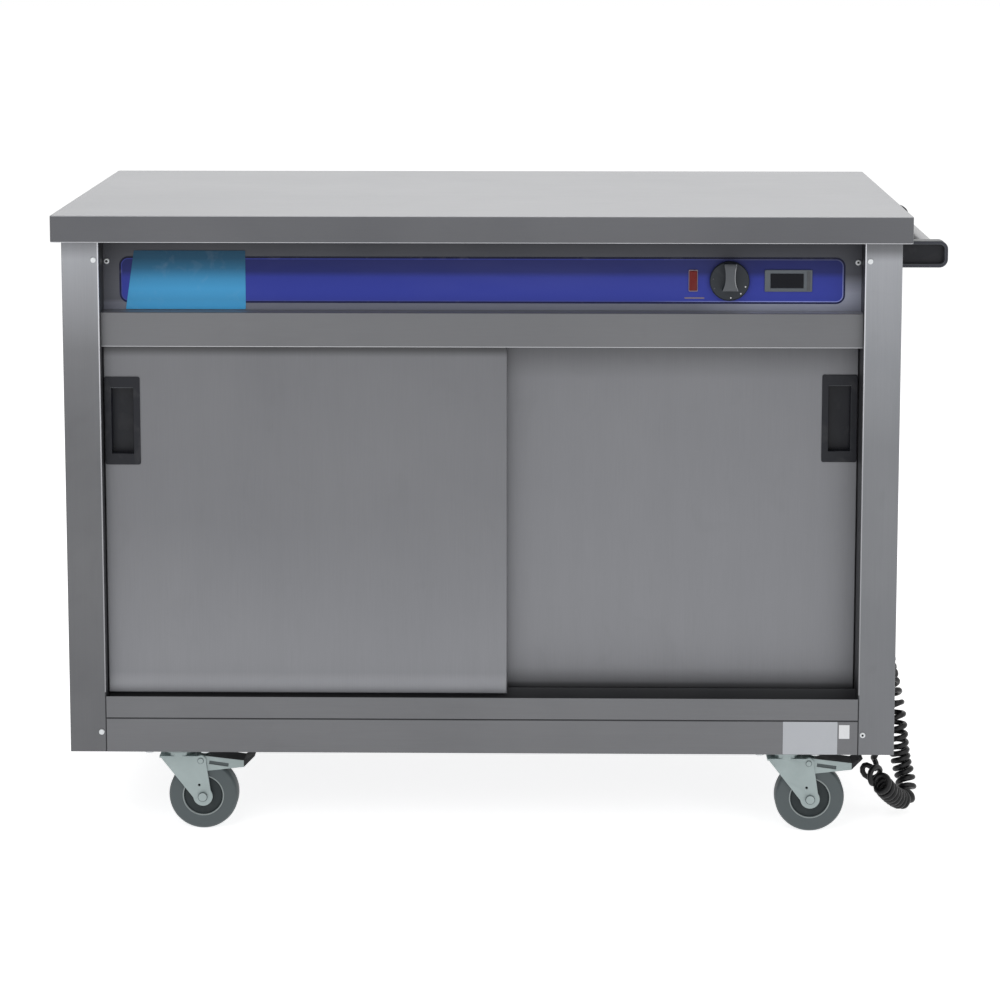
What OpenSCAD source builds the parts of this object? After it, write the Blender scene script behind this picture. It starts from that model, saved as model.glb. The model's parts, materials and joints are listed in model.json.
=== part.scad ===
// Mobile hot cupboard: a stainless heated cabinet with two sliding doors on four swivel castors.
// The frame has +X to the right, +Y to the back and +Z up, with the floor at Z = 0.
// The origin is on the floor, below the middle of the box that holds the cupboard and its push handle.

/* [Overall] */
// Width of the worktop
worktop_w = 1200; // [1000:10:1500]
// Depth of the worktop from front to back
worktop_d = 660; // [620:10:800]
// Height of the worktop above the floor
total_h = 900; // [860:10:1000]

/* [Sheet metal] */
// Thickness of every folded sheet
sheet = 1.2; // [0.8:0.1:1.6]
// Clearance left at the butt joints of the sheets
seam = 0.2; // [0.1:0.05:0.4]

/* [Worktop] */
// Depth of the worktop's edge
worktop_edge = 38; // [30:1:50]
// Width of the hem folded in under the edge
worktop_lip = 10; // [5:1:11]
// Plan radius of the worktop's corners
corner_r = 4; // [3:0.5:8]
// Distance that the worktop reaches past each end panel
side_overhang = 13; // [12:1:30]
// Distance that the worktop reaches past the front posts
front_setback = 15; // [12:1:30]
// Distance that the worktop reaches past the back panel
rear_setback = 15; // [12:1:30]

/* [Body] */
// Width of the front posts
post_w = 52; // [48:1:70]
// Depth of the fold that closes each post on its inner side
post_return = 12; // [8:1:14]
// Width of the flanges that carry the back panel
rear_flange = 20; // [14:1:30]
// Height of the plinth
plinth_h = 50; // [46:1:70]
// Height of the door sill above the plinth
sill_h = 31; // [26:1:40]
// Space between the cavity's back wall and the back panel
back_space = 38; // [30:1:60]

/* [Front panels] */
// Height of the control fascia between the worktop's edge and the ledge
fascia_h = 102; // [96:1:120]
// Distance of the fascia behind the posts
fascia_back = 43; // [38:1:50]
// Distance of the door header behind the posts
header_back = 15; // [14:1:18]
// Height of the printed overlay
overlay_h = 66; // [62:1:70]
// Thickness of the printed overlay
overlay_t = 0.5; // [0.3:0.1:1]
// Corner radius of the printed overlay
overlay_r = 13; // [5:1:20]
// Distance from each post to the overlay
overlay_margin = 23; // [18:1:38]
// Height of the overlay's middle above the ledge
overlay_up = 43; // [40:1:50]

/* [Doors] */
// Thickness of a door
door_t = 24; // [22:1:30]
// Distance of the front door behind the posts
door_back = 23; // [22:1:28]
// Space between the two doors
door_gap = 9; // [7:1:14]
// Width by which the doors overlap in the middle
door_overlap = 72; // [50:1:120]
// Clearance between a closed door and its post
door_side = 1; // [0.5:0.1:2]
// Height by which the header hides the top of the doors
door_lap = 11; // [6:1:16]

/* [Door pulls] */
// Width of a pull's flange
pull_w = 50; // [44:1:60]
// Height of a pull's flange
pull_h = 126; // [110:1:150]
// Thickness of a pull's flange
pull_t = 2; // [1.5:0.5:3]
// Corner radius of a pull's flange
pull_r = 3; // [2:1:8]
// Inside width of a pull's cup
cup_w = 31; // [24:1:36]
// Inside height of a pull's cup
cup_h = 94; // [82:1:104]
// Inside depth of a pull's cup behind the door's face
cup_depth = 14; // [10:1:16]
// Wall of a pull's cup
cup_wall = 1.5; // [1:0.1:2]
// Distance of a pull's middle below the door's top
pull_down = 118; // [90:1:300]
// Distance from the door's outer edge to the pull
pull_in = 1; // [0.5:0.5:4]

/* [Door running gear] */
// Radius of a roller's tread
tread_r = 8; // [6:0.5:10]
// Radius of a roller's flanges
flange_r = 10.5; // [8.5:0.5:12.5]
// Thickness of a roller's flange
flange_t = 2; // [1.5:0.1:2.5]
// Diameter of a roller's pin
pin_d = 5; // [4:0.5:6]
// Thickness of the hanger plates
hanger_t = 2; // [1.5:0.1:3]
// Width of a hanger
hanger_w = 40; // [30:1:60]
// Distance of a hanger's middle from the end of its door
hanger_in = 80; // [50:1:150]
// Depth of the sill's guide channel
sill_depth = 14; // [10:1:18]
// Height by which the guide fins reach into the doors
fin_up = 6; // [4:0.5:8]

/* [Inside] */
// Thickness of the shelf's folded edges
shelf_fold = 25; // [15:1:35]
// Width of the rails that carry the shelf
shelf_rail = 22; // [15:1:30]
// Thickness of the insulation below the cavity
slab_t = 28; // [24:1:30]
// Diameter of the tubular heating elements
element_d = 8; // [6:0.5:10]
// Distance between the two legs of an element
element_w = 120; // [80:5:180]
// Distance from the cavity's sides to the straight legs of an element
element_in = 145; // [135:5:230]

/* [Controls] */
// Distance from the overlay's right end to the middle of the display
display_in = 80; // [62:1:86]
// Distance from the overlay's right end to the middle of the knob
knob_in = 163; // [157:1:172]
// Distance from the overlay's right end to the middle of the indicator lamp
lamp_in = 214; // [210:1:242]
// Diameter of the thermostat knob
knob_d = 56; // [44:1:58]
// Thickness of the knob's skirt
knob_skirt = 8; // [5:0.5:10]
// Depth of the knob with its grip
knob_depth = 26; // [20:1:30]
// Width of the knob's grip
knob_grip = 17; // [12:1:20]
// Diameter of the thermostat's spindle
spindle_d = 6; // [5:0.5:8]
// Width of the indicator lamp
lamp_w = 13; // [11:1:18]
// Height of the indicator lamp
lamp_h = 31; // [24:1:36]
// Width of the temperature display
display_w = 67; // [56:1:74]
// Height of the temperature display
display_h = 31; // [26:1:36]
// Width of the display's window
window_w = 47; // [36:1:50]
// Height of the display's window
window_h = 21; // [14:1:24]

/* [Push handle] */
// Distance that the handle reaches past the worktop
handle_reach = 60; // [55:1:80]
// Height of a handle bracket
bracket_h = 38; // [34:1:46]
// Thickness of a handle bracket
bracket_t = 24; // [22:1:30]
// Distance from the worktop's underside to the brackets
bracket_drop = 6; // [2:1:10]
// Distance of the brackets from the front and the back of the body
bracket_inset = 73; // [50:1:120]
// Radius of a bracket's outer corners
bracket_r = 12; // [6:1:15]
// Diameter of the handle's bar
bar_d = 24; // [20:1:26]
// Depth of the sockets that hold the bar
socket_depth = 12; // [8:1:14]

/* [Castors] */
// Diameter of a wheel
wheel_d = 100; // [80:1:125]
// Width of a tyre
tyre_w = 32; // [26:1:40]
// Diameter of the wheel's hub
hub_d = 60; // [52:1:80]
// Diameter of the axle bolt
axle_d = 8; // [6:0.5:10]
// Distance from the swivel axis to the axle
castor_trail = 34.5; // [30:0.5:40]
// Distance from an end panel to a swivel axis
castor_end = 149; // [147:1:200]
// Distance from the front or the back of the body to a swivel axis
castor_in = 60; // [56:1:90]
// Thickness of the fork's sheet
fork_t = 3; // [2.5:0.5:4]
// Radius of the fork's foot
foot_r = 14; // [12:0.5:18]
// Length of a castor's top plate
plate_l = 100; // [90:1:110]
// Width of a castor's top plate
plate_w = 85; // [80:1:95]
// Thickness of a castor's top plate
plate_t = 3; // [2.5:0.5:4]
// Diameter of the castor bolts
bolt_d = 8; // [6:1:10]
// Length of a brake pedal from its pivot
pedal_l = 78; // [70:1:85]

/* [Mains lead] */
// Diameter of the curly cord
cord_d = 8; // [7:0.5:8.5]
// Radius of the curls, measured to the middle of the cord
coil_r = 11.5; // [10:0.5:13]
// Diameter of the cable gland
gland_d = 22; // [18:1:24]
// Length of the gland below the body
gland_l = 20; // [16:1:24]
// Width of the mains plug
plug_w = 50; // [46:1:54]
// Height of the mains plug
plug_h = 52; // [48:1:56]
// Thickness of the mains plug
plug_t = 28; // [24:1:30]
// Depth of the plug holder
holder_d = 20; // [19:1:24]
// Height of the plug's cord entry above the floor
plug_z = 400; // [300:5:450]
// Distance of the plug behind the front of the body
plug_back = 485; // [400:5:520]

/* [Hidden] */
$fn = 48;
// Overrun of every cut
cut = 1;
// Running clearance round pins and shafts
run_fit = 0.05;
// Running clearance below a roller
roll_gap = 0.1;
// Clearance between pieces that turn past each other
turn_gap = 0.3;
// Radial clearance of a screw in its hole
hole_fit = 0.3;

// Places of the body
half_w = worktop_w / 2;
mid_x = -handle_reach / 2;
front_y = -worktop_d / 2;
body_x = half_w - side_overhang;
open_x = body_x - post_w;
span_x = open_x - seam;
tray_x = body_x - sheet - seam;
post_y = front_y + front_setback;
back_y = worktop_d / 2 - rear_setback;
flange_y = back_y - sheet - seam;
cavity_back_y = back_y - back_space;
top_z = total_h - sheet - seam;
under_z = total_h - worktop_edge;

// Heights of a castor, from the floor up to the body
wheel_r = wheel_d / 2;
crown_gap = 7;
race_h = 6.7;
cup_ring_h = 8;
crown_top = wheel_d + crown_gap + fork_t;
ring_bottom = crown_top + race_h + turn_gap;
plate_bottom = ring_bottom + cup_ring_h;
base_h = plate_bottom + plate_t;
base_top = base_h + sheet;

// Running gear of the doors, measured from the middle plane of a door
side_play = 0.6;
leg_gap = 0.5;
pin_head_t = 2;
pin_head_r = 4;
web_clear = 3;
lip_clear = 1.5;
foot_clear = 6;
head_room = 3.6;
roller_y = sheet / 2 + side_play + flange_t;
leg_y = roller_y + leg_gap;
web_y = leg_y + pin_head_t + web_clear;
edge_h = flange_r - tread_r + lip_clear;
hanger_rise = tread_r + roll_gap + edge_h + sheet + foot_clear + hanger_t;

// Heights and depths of the front
header_h = sheet + seam + sheet + head_room + flange_r + hanger_rise + door_lap;
plinth_top = base_h + plinth_h;
sill_top = plinth_top + sill_h;
ledge_z = under_z - fascia_h;
header_bottom = ledge_z - header_h;
door_top = header_bottom + door_lap;
door_h = door_top - sill_top;
pull_up = door_h - pull_down;
door_w = open_x - door_side + door_overlap / 2;
roller_z = door_top + hanger_rise;
rail_z = roller_z - tread_r - roll_gap;
fascia_y = post_y + fascia_back;
overlay_y = fascia_y - overlay_t;
header_y = post_y + header_back;
door_ys = [post_y + door_back, post_y + door_back + door_t + door_gap];
screen_gap = 3;
screen_y = door_ys[1] + door_t + screen_gap;
slot_play = 1.5;
slot_rise = 3;

// Inside of the cavity
ceiling_z = header_bottom + sheet;
shelf_z = (sill_top + ceiling_z) / 2;
shelf_side = 3;
shelf_front = 25;
shelf_rear = 10;
shelf_ys = [screen_y + shelf_front, cavity_back_y - shelf_rear];
vent_l = 60;
vent_w = 6;
vent_pitch = 90;
vent_end_share = 0.45;
vent_rows_share = [0.25, 0.5, 0.75];

// Controls on the fascia
overlay_w = 2 * open_x - 2 * overlay_margin;
control_z = ledge_z + overlay_up;
display_x = overlay_w / 2 - display_in;
knob_x = overlay_w / 2 - knob_in;
lamp_x = overlay_w / 2 - lamp_in;
rim = 1.5;
rim_t = 2;
body_fit = 0.3;
bush_r = 5;
thermostat_w = 40;
thermostat_d = 32;
spindle_in = 14;
knob_gap = 0.8;
knob_wall = 4;
knob_y = overlay_y - knob_gap;
lamp_depth = 24;
display_depth = 26;
window_sink = 1;
window_off = 2;

// Push handle
bracket_x = half_w + handle_reach;
bracket_top = under_z - bracket_drop;
bracket_wall = 5;
bracket_web = 3;
pocket_depth = bracket_t - socket_depth - bracket_web;
bar_rim = 3;
bar_x = bracket_x - bracket_r - bar_d / 2;
bar_z = bracket_top - bar_rim - bar_d / 2;
bracket_ys = [post_y + bracket_inset, back_y - bracket_inset - bracket_t];

// Castors
castor_x = body_x - castor_end;
castor_ys = [post_y + castor_in, back_y - castor_in];
kingpin_r = 6;
kingpin_head_r = 10;
kingpin_head_h = 4;
cup_ring_r = 29;
race_r = 22;
hub_rim = 2;
hub_sink = 3;
boss_r = 12;
boss_out = 2;
side_gap = 0.3;
fork_y = tyre_w / 2 + boss_out + side_gap;
fork_out = fork_y + fork_t;
fork_rear = 27.5;
pivot_x = -2.5;
pivot_drop = 7;
pivot_z = crown_top - pivot_drop - wheel_r;
pivot_r = 3;
ear_r = 8;
crown_front = castor_trail + pivot_x - ear_r;
weld_hole_r = 1.8;
weld_hole_shares = [-0.36, 1.21];
edge_in_share = 0.9;
foot_angle = 20;
axle_head_r = 7;
axle_head_h = 4;
nut_h = 6.5;
bolt_head_h = 5.5;
bolt_head_r = 6.5;
bolt_margin = 10;
pedal_t = 1.6;
pedal_gap = 0.4;
pedal_y = fork_y - pedal_gap - pedal_t;
pedal_clear = 2;
pedal_slope = 8;
press_at = [26, -5];
press_size = [28, 5];
pad_l = 16;
pad_h = 10;
rivet_r = 4.5;
rivet_head_h = 1;

// Insulation and heating
slab_gap = 0.3;
slab_z = base_top + nut_h + slab_gap;
slab_top = slab_z + slab_t;
element_z = slab_top + element_d;
element_l = 2 * (open_x - element_in);
element_rows_share = [0.3, 0.7];
clip_w = 12;
clips_share = [-0.4, 0, 0.4];
terminal_w = 60;
terminal_d = 24;
terminal_h = 20;
terminal_x_share = 0.15;
terminal_pole_r = 3;
terminal_poles = 3;

// Mains lead
gland_in = 15;
gland_back = 93;
gland_x = body_x - gland_in;
gland_y = post_y + gland_back;
gland_thread_r = 8;
gland_nut_r = 11;
gland_nut_h = 5;
gland_fit = 0.2;
holder_rim = 4;
holder_base = 1;
holder_seat = 6;
plug_y = post_y + plug_back;
plug_gap = 0.3;
plug_x = body_x + holder_d + plug_gap;
plug_corner = 8;
pin_fit = 0.2;
pin_w = 6.4;
pin_t = 4;
pin_l = 17.7;
earth_w = 4;
earth_t = 8;
pins_z_share = 0.32;
earth_z_share = 0.75;
pins_y_share = 0.22;

// Screws and rivets
screw_r = 2.1;
screw_head_r = 4;
screw_head_h = 2;
screw_l = 8;
rivet_in = 5;
rivet_down = 33;
post_screw_in = 7;
post_screw_down = 26;
post_screw_up = 29;
back_screw_in = 10;
back_screws_share = [0.06, 0.5, 0.94];

// Route of the curly cord: place of its middle line, curls so far and swell of the curls.
// It leaves the gland, turns up below the body's corner and climbs back to the plug.
cord_route = [
    [542, -222, 108, 0, 0],
    [542, -222, 99.5, 0, 0],
    [534.8, -212.6, 78, 0.82, 1],
    [543.3, -245.6, 72.1, 1.98, 1],
    [553.4, -236, 56.9, 3.25, 1],
    [566.8, -217, 39.7, 6.24, 1],
    [580.5, -196, 26.3, 9.15, 1],
    [591.4, -177, 23.3, 10.79, 1],
    [594.7, -163, 33.4, 11.89, 1],
    [593.3, -154, 49.7, 13.42, 1],
    [588.4, -149, 68.8, 15.31, 1],
    [585.4, -146, 89.3, 17.43, 1],
    [583, -144, 113.1, 19.38, 1],
    [581.2, -139, 134.5, 20.85, 1],
    [578.8, -131, 153.6, 22.08, 1],
    [576.5, -116, 169.2, 23.3, 1],
    [574.5, -94, 183, 24.74, 1],
    [574, -62, 195.9, 26.66, 1],
    [574.5, -20, 240, 30.72, 1],
    [574.5, 25, 270, 35.23, 1],
    [575, 70, 304, 39.93, 1],
    [579, 122, 340, 45.21, 1],
    [586, 157, 368, 49.02, 1],
    [590, 170, 388, 50.78, 0],
    [590, 170, 400, 50.78, 0]
];
cord_sides = 6;
rings_per_curl = 8;
lead_rings = 2;

// Shared shapes

// Colours a piece and sets it about the cabinet's middle plane
module placed(tint) {
    color(tint) translate([mid_x, 0, 0]) children();
}

// Box between its lowest and highest corners
module box(lo, hi) {
    translate(lo) cube(hi - lo);
}

// Rectangle between its lowest and highest corners
module strip(lo, hi) {
    translate(lo) square(hi - lo);
}

// Rectangle with round corners about the origin
module rounded(size, r) {
    square([size.x - 2 * r, size.y], center = true);
    square([size.x, size.y - 2 * r], center = true);
    for (i = [-1, 1], j = [-1, 1]) {
        translate([i * (size.x / 2 - r), j * (size.y / 2 - r)]) circle(r);
    }
}

// Outline in X and Z, made solid from y backwards
module upright(y, depth) {
    translate([0, y + depth, 0]) rotate([90, 0, 0]) linear_extrude(depth) children();
}

// Outline in Y and Z, made solid along X
module lengthwise(x, length) {
    translate([x, 0, 0]) rotate([90, 0, 90]) linear_extrude(length) children();
}

// Cylinder along +Y from a point
module rod_y(at, r, length) {
    translate(at) rotate([-90, 0, 0]) cylinder(r = r, h = length);
}

// Cylinder along +X from a point
module rod_x(at, r, length) {
    translate(at) rotate([0, 90, 0]) cylinder(r = r, h = length);
}

// The two ends of the cabinet
module both_ends() {
    children();
    mirror([1, 0, 0]) children();
}

// Places of the fixings, shared by the screws and their holes
post_screws = [
    [open_x + post_screw_in, under_z - post_screw_down],
    [open_x + post_screw_in, base_h + post_screw_up]
];
fascia_rivet = [span_x - rivet_in, under_z - rivet_down];
back_screws = [
    for (share = back_screws_share) [body_x - back_screw_in, base_top + share * (top_z - base_top)]
];
handle_screws = [
    for (side = [0, 1], up = [0, 1]) [
        bracket_ys[side] + (side == 0 ? 0 : bracket_t) + (side == 0 ? 1 : -1) * pocket_depth / 2,
        bracket_top - bracket_h / 2 + (up == 0 ? -1 : 1) * bracket_h / 4
    ]
];
holder_screws = [
    for (side = [-1, 1]) [plug_y + side * (plug_w / 2 - holder_rim), plug_z + plug_h / 2]
];
castor_places = [for (y = castor_ys, side = [-1, 1]) [side * castor_x, y]];
bolt_places = [
    for (i = [-1, 1], j = [-1, 1]) [i * (plate_l / 2 - bolt_margin), j * (plate_w / 2 - bolt_margin)]
];

// Sheet metal of the cabinet

module worktop() {
    lip = 2 * worktop_lip;
    placed("silver") difference() {
        translate([0, 0, under_z]) linear_extrude(worktop_edge) rounded([worktop_w, worktop_d], corner_r);
        translate([0, 0, under_z + sheet]) linear_extrude(worktop_edge - 2 * sheet)
            rounded([worktop_w - 2 * sheet, worktop_d - 2 * sheet], corner_r - sheet);
        translate([0, 0, under_z - cut]) linear_extrude(sheet + 2 * cut)
            square([worktop_w - lip, worktop_d - lip], center = true);
    }
}

// End panel on the right, folded round the post and back to a flange
module end_panel() {
    difference() {
        union() {
            box([body_x - sheet, post_y, base_h], [body_x, back_y, top_z]);
            box([open_x, post_y, base_h], [body_x, post_y + sheet, top_z]);
            box([open_x, post_y, base_top + seam], [open_x + sheet, post_y + post_return, top_z]);
            box([body_x - rear_flange, flange_y - sheet, base_h], [body_x, flange_y, top_z]);
        }
        for (p = post_screws) rod_y([p[0], post_y - cut, p[1]], screw_r + hole_fit, sheet + 2 * cut);
        for (p = back_screws) {
            rod_y([p[0], flange_y - sheet - cut, p[1]], screw_r + hole_fit, sheet + 2 * cut);
        }
    }
}

module left_end_panel() {
    placed("lightgray") mirror([1, 0, 0]) end_panel();
}

module right_end_panel() {
    reach = sheet + 2 * cut;
    placed("lightgray") difference() {
        end_panel();
        for (p = handle_screws) rod_x([body_x - sheet - cut, p[0], p[1]], screw_r + hole_fit, reach);
        for (p = holder_screws) rod_x([body_x - sheet - cut, p[0], p[1]], screw_r + hole_fit, reach);
    }
}

module back_panel() {
    placed("gray") difference() {
        box([-tray_x, back_y - sheet, base_h], [tray_x, back_y, top_z]);
        both_ends() for (p = back_screws) {
            rod_y([p[0], back_y - sheet - cut, p[1]], screw_r + hole_fit, sheet + 2 * cut);
        }
    }
}

module base_tray() {
    reach = sheet + 2 * cut;
    placed("gray") difference() {
        box([-tray_x, post_y + sheet + seam, base_h], [tray_x, flange_y - sheet - seam, base_top]);
        for (c = castor_places, b = bolt_places) {
            translate([c[0] + b[0], c[1] + b[1], base_h - cut])
                cylinder(r = bolt_d / 2 + hole_fit, h = reach);
        }
        translate([gland_x, gland_y, base_h - cut]) cylinder(r = gland_thread_r + gland_fit, h = reach);
    }
}

module plinth() {
    placed("darkgray") lengthwise(-span_x, 2 * span_x) {
        strip([post_y, base_h], [post_y + sheet, plinth_top]);
        strip([post_y, plinth_top - sheet], [post_y + post_return, plinth_top]);
    }
}

// Sill with the bottom guide channel and a fin for each door
module door_sill() {
    channel_z = sill_top - sill_depth;
    placed("darkgray") lengthwise(-span_x, 2 * span_x) {
        strip([post_y, plinth_top + seam], [post_y + sheet, sill_top]);
        strip([post_y, channel_z - sheet], [screen_y + sheet, channel_z]);
        strip([screen_y, channel_z - sheet], [screen_y + sheet, sill_top - sheet - seam]);
        for (y = door_ys) {
            fin_y = y + door_t / 2 - sheet / 2;
            strip([fin_y, channel_z - sheet], [fin_y + sheet, sill_top + fin_up]);
        }
    }
}

module door_header() {
    hem = (door_back - header_back) / 2;
    placed("gray") lengthwise(-span_x, 2 * span_x) {
        strip([header_y, header_bottom], [header_y + sheet, ledge_z]);
        strip([header_y, header_bottom], [header_y + hem, header_bottom + sheet]);
        strip([header_y, ledge_z - sheet], [screen_y + sheet, ledge_z]);
    }
}

module control_fascia() {
    reach = sheet + 2 * cut;
    placed("dimgray") difference() {
        box([-span_x, fascia_y, ledge_z + seam], [span_x, fascia_y + sheet, top_z]);
        control_holes(fascia_y - cut, reach);
        both_ends() rod_y([fascia_rivet[0], fascia_y - cut, fascia_rivet[1]], screw_r + hole_fit, reach);
    }
}

module fascia_overlay() {
    placed("mediumblue") difference() {
        translate([0, 0, control_z]) upright(overlay_y, overlay_t)
            rounded([overlay_w, overlay_h], overlay_r);
        control_holes(overlay_y - cut, overlay_t + 2 * cut);
    }
}

// Openings for the lamp, the thermostat's bush and the display
module control_holes(y, depth) {
    rod_y([knob_x, y, control_z], bush_r + body_fit, depth);
    translate([lamp_x, 0, control_z]) upright(y, depth)
        square(inset_size(lamp_w, lamp_h, 0), center = true);
    translate([display_x, 0, control_z]) upright(y, depth)
        square(inset_size(display_w, display_h, 0), center = true);
}

// Size of a control's body behind its rim, less a clearance all round
function inset_size(w, h, clear) = [w - 2 * rim - 2 * clear, h - 2 * rim - 2 * clear];

// Track with a hooked rail for each door, hung under the ledge
module door_track() {
    plate_z = ledge_z - sheet - seam;
    track_front = door_ys[0] + door_t / 2 - web_y;
    track_rear = door_ys[1] + door_t / 2 + web_y + sheet;
    placed("silver") lengthwise(-span_x, 2 * span_x) {
        strip([track_front, plate_z - sheet], [track_rear, plate_z]);
        for (y = door_ys) {
            mid_y = y + door_t / 2;
            strip([mid_y + web_y, rail_z - edge_h - sheet], [mid_y + web_y + sheet, plate_z]);
            strip([mid_y - sheet / 2, rail_z - edge_h - sheet], [mid_y + web_y + sheet, rail_z - edge_h]);
            strip([mid_y - sheet / 2, rail_z - edge_h - sheet], [mid_y + sheet / 2, rail_z]);
        }
    }
}

// Heated cavity

module cavity_side() {
    front = post_y + post_return + seam;
    box([open_x, front, base_top + seam], [open_x + sheet, cavity_back_y + sheet, top_z]);
}

module cavity_left_wall() {
    placed("silver") mirror([1, 0, 0]) cavity_side();
}

module cavity_right_wall() {
    placed("silver") cavity_side();
}

module cavity_back_wall() {
    placed("silver")
        box([-span_x, cavity_back_y, base_top + seam], [span_x, cavity_back_y + sheet, ledge_z]);
}

module cavity_ceiling() {
    placed("silver") lengthwise(-span_x, 2 * span_x) {
        strip([screen_y, ceiling_z], [cavity_back_y - seam, ceiling_z + sheet]);
        strip([screen_y, ceiling_z], [screen_y + sheet, ledge_z - sheet - seam]);
    }
}

// Floor of the cavity with rows of slots for the warm air
module cavity_floor() {
    depth = cavity_back_y - seam - screen_y;
    vent_count = floor((span_x - vent_pitch) / vent_pitch);
    placed("silver") difference() {
        box([-span_x, screen_y, sill_top - sheet], [span_x, cavity_back_y - seam, sill_top]);
        for (share = vent_rows_share, i = [-vent_count : vent_count]) {
            translate([i * vent_pitch, screen_y + share * depth, sill_top - sheet - cut])
                linear_extrude(sheet + 2 * cut) rounded([vent_l, vent_w], vent_end_share * vent_w);
        }
    }
}

module mid_shelf() {
    shelf_x = open_x - shelf_side;
    placed("silver") lengthwise(-shelf_x, 2 * shelf_x) {
        strip([shelf_ys[0], shelf_z - sheet], [shelf_ys[1], shelf_z]);
        for (y = [shelf_ys[0], shelf_ys[1] - sheet]) strip([y, shelf_z - shelf_fold], [y + sheet, shelf_z]);
    }
}

// Angle rails on the side walls, below the shelf
module shelf_rails() {
    rail_top = shelf_z - sheet - seam;
    front = shelf_ys[0] + shelf_rail;
    rear = shelf_ys[1] - shelf_rail;
    placed("silver") both_ends() {
        box([span_x - shelf_rail, front, rail_top - sheet], [span_x, rear, rail_top]);
        box([span_x - sheet, front, rail_top - shelf_rail], [span_x, rear, rail_top]);
    }
}

// Slabs at the sides, the back and the top of the cavity and below its elements
module insulation() {
    slab_x = span_x - slab_gap;
    slab_back = cavity_back_y - slab_gap;
    side_front = gland_y + gland_d;
    side_top = ledge_z - sheet;
    back_front = cavity_back_y + sheet + slab_gap;
    top_bottom = ceiling_z + sheet + slab_gap;
    placed("khaki") {
        both_ends() box([open_x + sheet + slab_gap, side_front, base_top + slab_gap],
            [body_x - sheet - slab_gap, flange_y - sheet - slab_gap, side_top]);
        box([-slab_x, back_front, slab_z], [slab_x, flange_y - slab_gap, side_top]);
        box([-slab_x, screen_y + sheet + slab_gap, top_bottom], [slab_x, slab_back, side_top]);
        box([-slab_x, post_y + post_return + slab_gap, slab_z], [slab_x, slab_back, slab_top]);
    }
}

// Two hairpin elements on strips that stand on the insulation
module heating_elements() {
    depth = cavity_back_y - screen_y;
    clip_h = element_z - element_d / 2 - slab_top;
    placed("dimgray") for (share = element_rows_share) {
        translate([0, screen_y + share * depth, 0]) {
            hairpin();
            for (at = clips_share) {
                translate([at * element_l, -element_w, slab_top]) cube([clip_w, 2 * element_w, clip_h]);
            }
        }
    }
}

// Tube bent in a hairpin, with its terminal ends on the left
module hairpin() {
    for (side = [-1, 1]) rod_x([-element_l / 2, side * element_w / 2, element_z], element_d / 2, element_l);
    translate([element_l / 2, 0, element_z]) rotate([0, 0, -90])
        rotate_extrude(angle = 180) translate([element_w / 2, 0]) circle(element_d / 2);
}

// Controls

module thermostat() {
    body_y = fascia_y + sheet;
    bore_l = body_y - overlay_y + cut + spindle_in + seam;
    placed("dimgray") difference() {
        union() {
            box([knob_x - thermostat_w / 2, body_y, control_z - thermostat_w / 2],
                [knob_x + thermostat_w / 2, body_y + thermostat_d, control_z + thermostat_w / 2]);
            rod_y([knob_x, overlay_y, control_z], bush_r, body_y - overlay_y + cut);
        }
        rod_y([knob_x, overlay_y - cut, control_z], spindle_d / 2 + run_fit, bore_l);
    }
}

module thermostat_spindle() {
    front = knob_y - knob_depth + knob_wall + seam;
    rear = fascia_y + sheet + spindle_in;
    placed("silver") rod_y([knob_x, front, control_z], spindle_d / 2, rear - front);
}

// Knob with a round skirt and an upright grip bar
module thermostat_knob() {
    grip_front = knob_y - knob_depth;
    bore_l = knob_depth - knob_wall + cut;
    placed("darkslategray") difference() {
        union() {
            rod_y([knob_x, knob_y - knob_skirt, control_z], knob_d / 2, knob_skirt);
            translate([knob_x, 0, control_z]) upright(grip_front, knob_depth) intersection() {
                square([knob_grip, knob_d], center = true);
                circle(knob_d / 2 - rim);
            }
        }
        rod_y([knob_x, grip_front + knob_wall, control_z], spindle_d / 2 + run_fit, bore_l);
    }
}

// Rim in front of the overlay and a body through the fascia
module panel_insert(x, w, h, depth) {
    translate([x, 0, control_z]) {
        upright(overlay_y - rim_t, rim_t) rounded([w, h], rim);
        upright(overlay_y - cut, depth + cut) square(inset_size(w, h, body_fit), center = true);
    }
}

module indicator_lamp() {
    placed("firebrick") panel_insert(lamp_x, lamp_w, lamp_h, lamp_depth);
}

module temperature_display() {
    placed("slategray") difference() {
        panel_insert(display_x, display_w, display_h, display_depth);
        translate([display_x - window_off, 0, control_z]) upright(overlay_y - rim_t - cut, window_sink + cut)
            square([window_w, window_h], center = true);
    }
}

module terminal_block() {
    x = terminal_x_share * worktop_w;
    pole_pitch = terminal_w / terminal_poles;
    y = (fascia_y + sheet + screen_y + sheet) / 2;
    placed("ivory") difference() {
        box([x, y - terminal_d / 2, ledge_z], [x + terminal_w, y + terminal_d / 2, ledge_z + terminal_h]);
        for (i = [0 : terminal_poles - 1], j = [-1, 1]) {
            translate([x + (i + 1 / 2) * pole_pitch, y + j * terminal_d / 4, ledge_z + terminal_h / 2])
                cylinder(r = terminal_pole_r, h = terminal_h);
        }
    }
}

// Push handle

module handle_bar() {
    front = bracket_ys[0] + bracket_t - socket_depth + seam;
    rear = bracket_ys[1] + socket_depth - seam;
    placed("gainsboro") rod_y([bar_x, front, bar_z], bar_d / 2, rear - front);
}

// Outline of a bracket, square at the body and round at its outer end
module bracket_outline(inset) {
    length = bracket_x - body_x - 2 * inset;
    height = bracket_h - 2 * inset;
    r = bracket_r - inset;
    translate([body_x + inset, bracket_top - bracket_h + inset]) {
        square([length - r, height]);
        translate([0, r]) square([length, height - 2 * r]);
        for (z = [r, height - r]) translate([length - r, z]) circle(r);
    }
}

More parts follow.
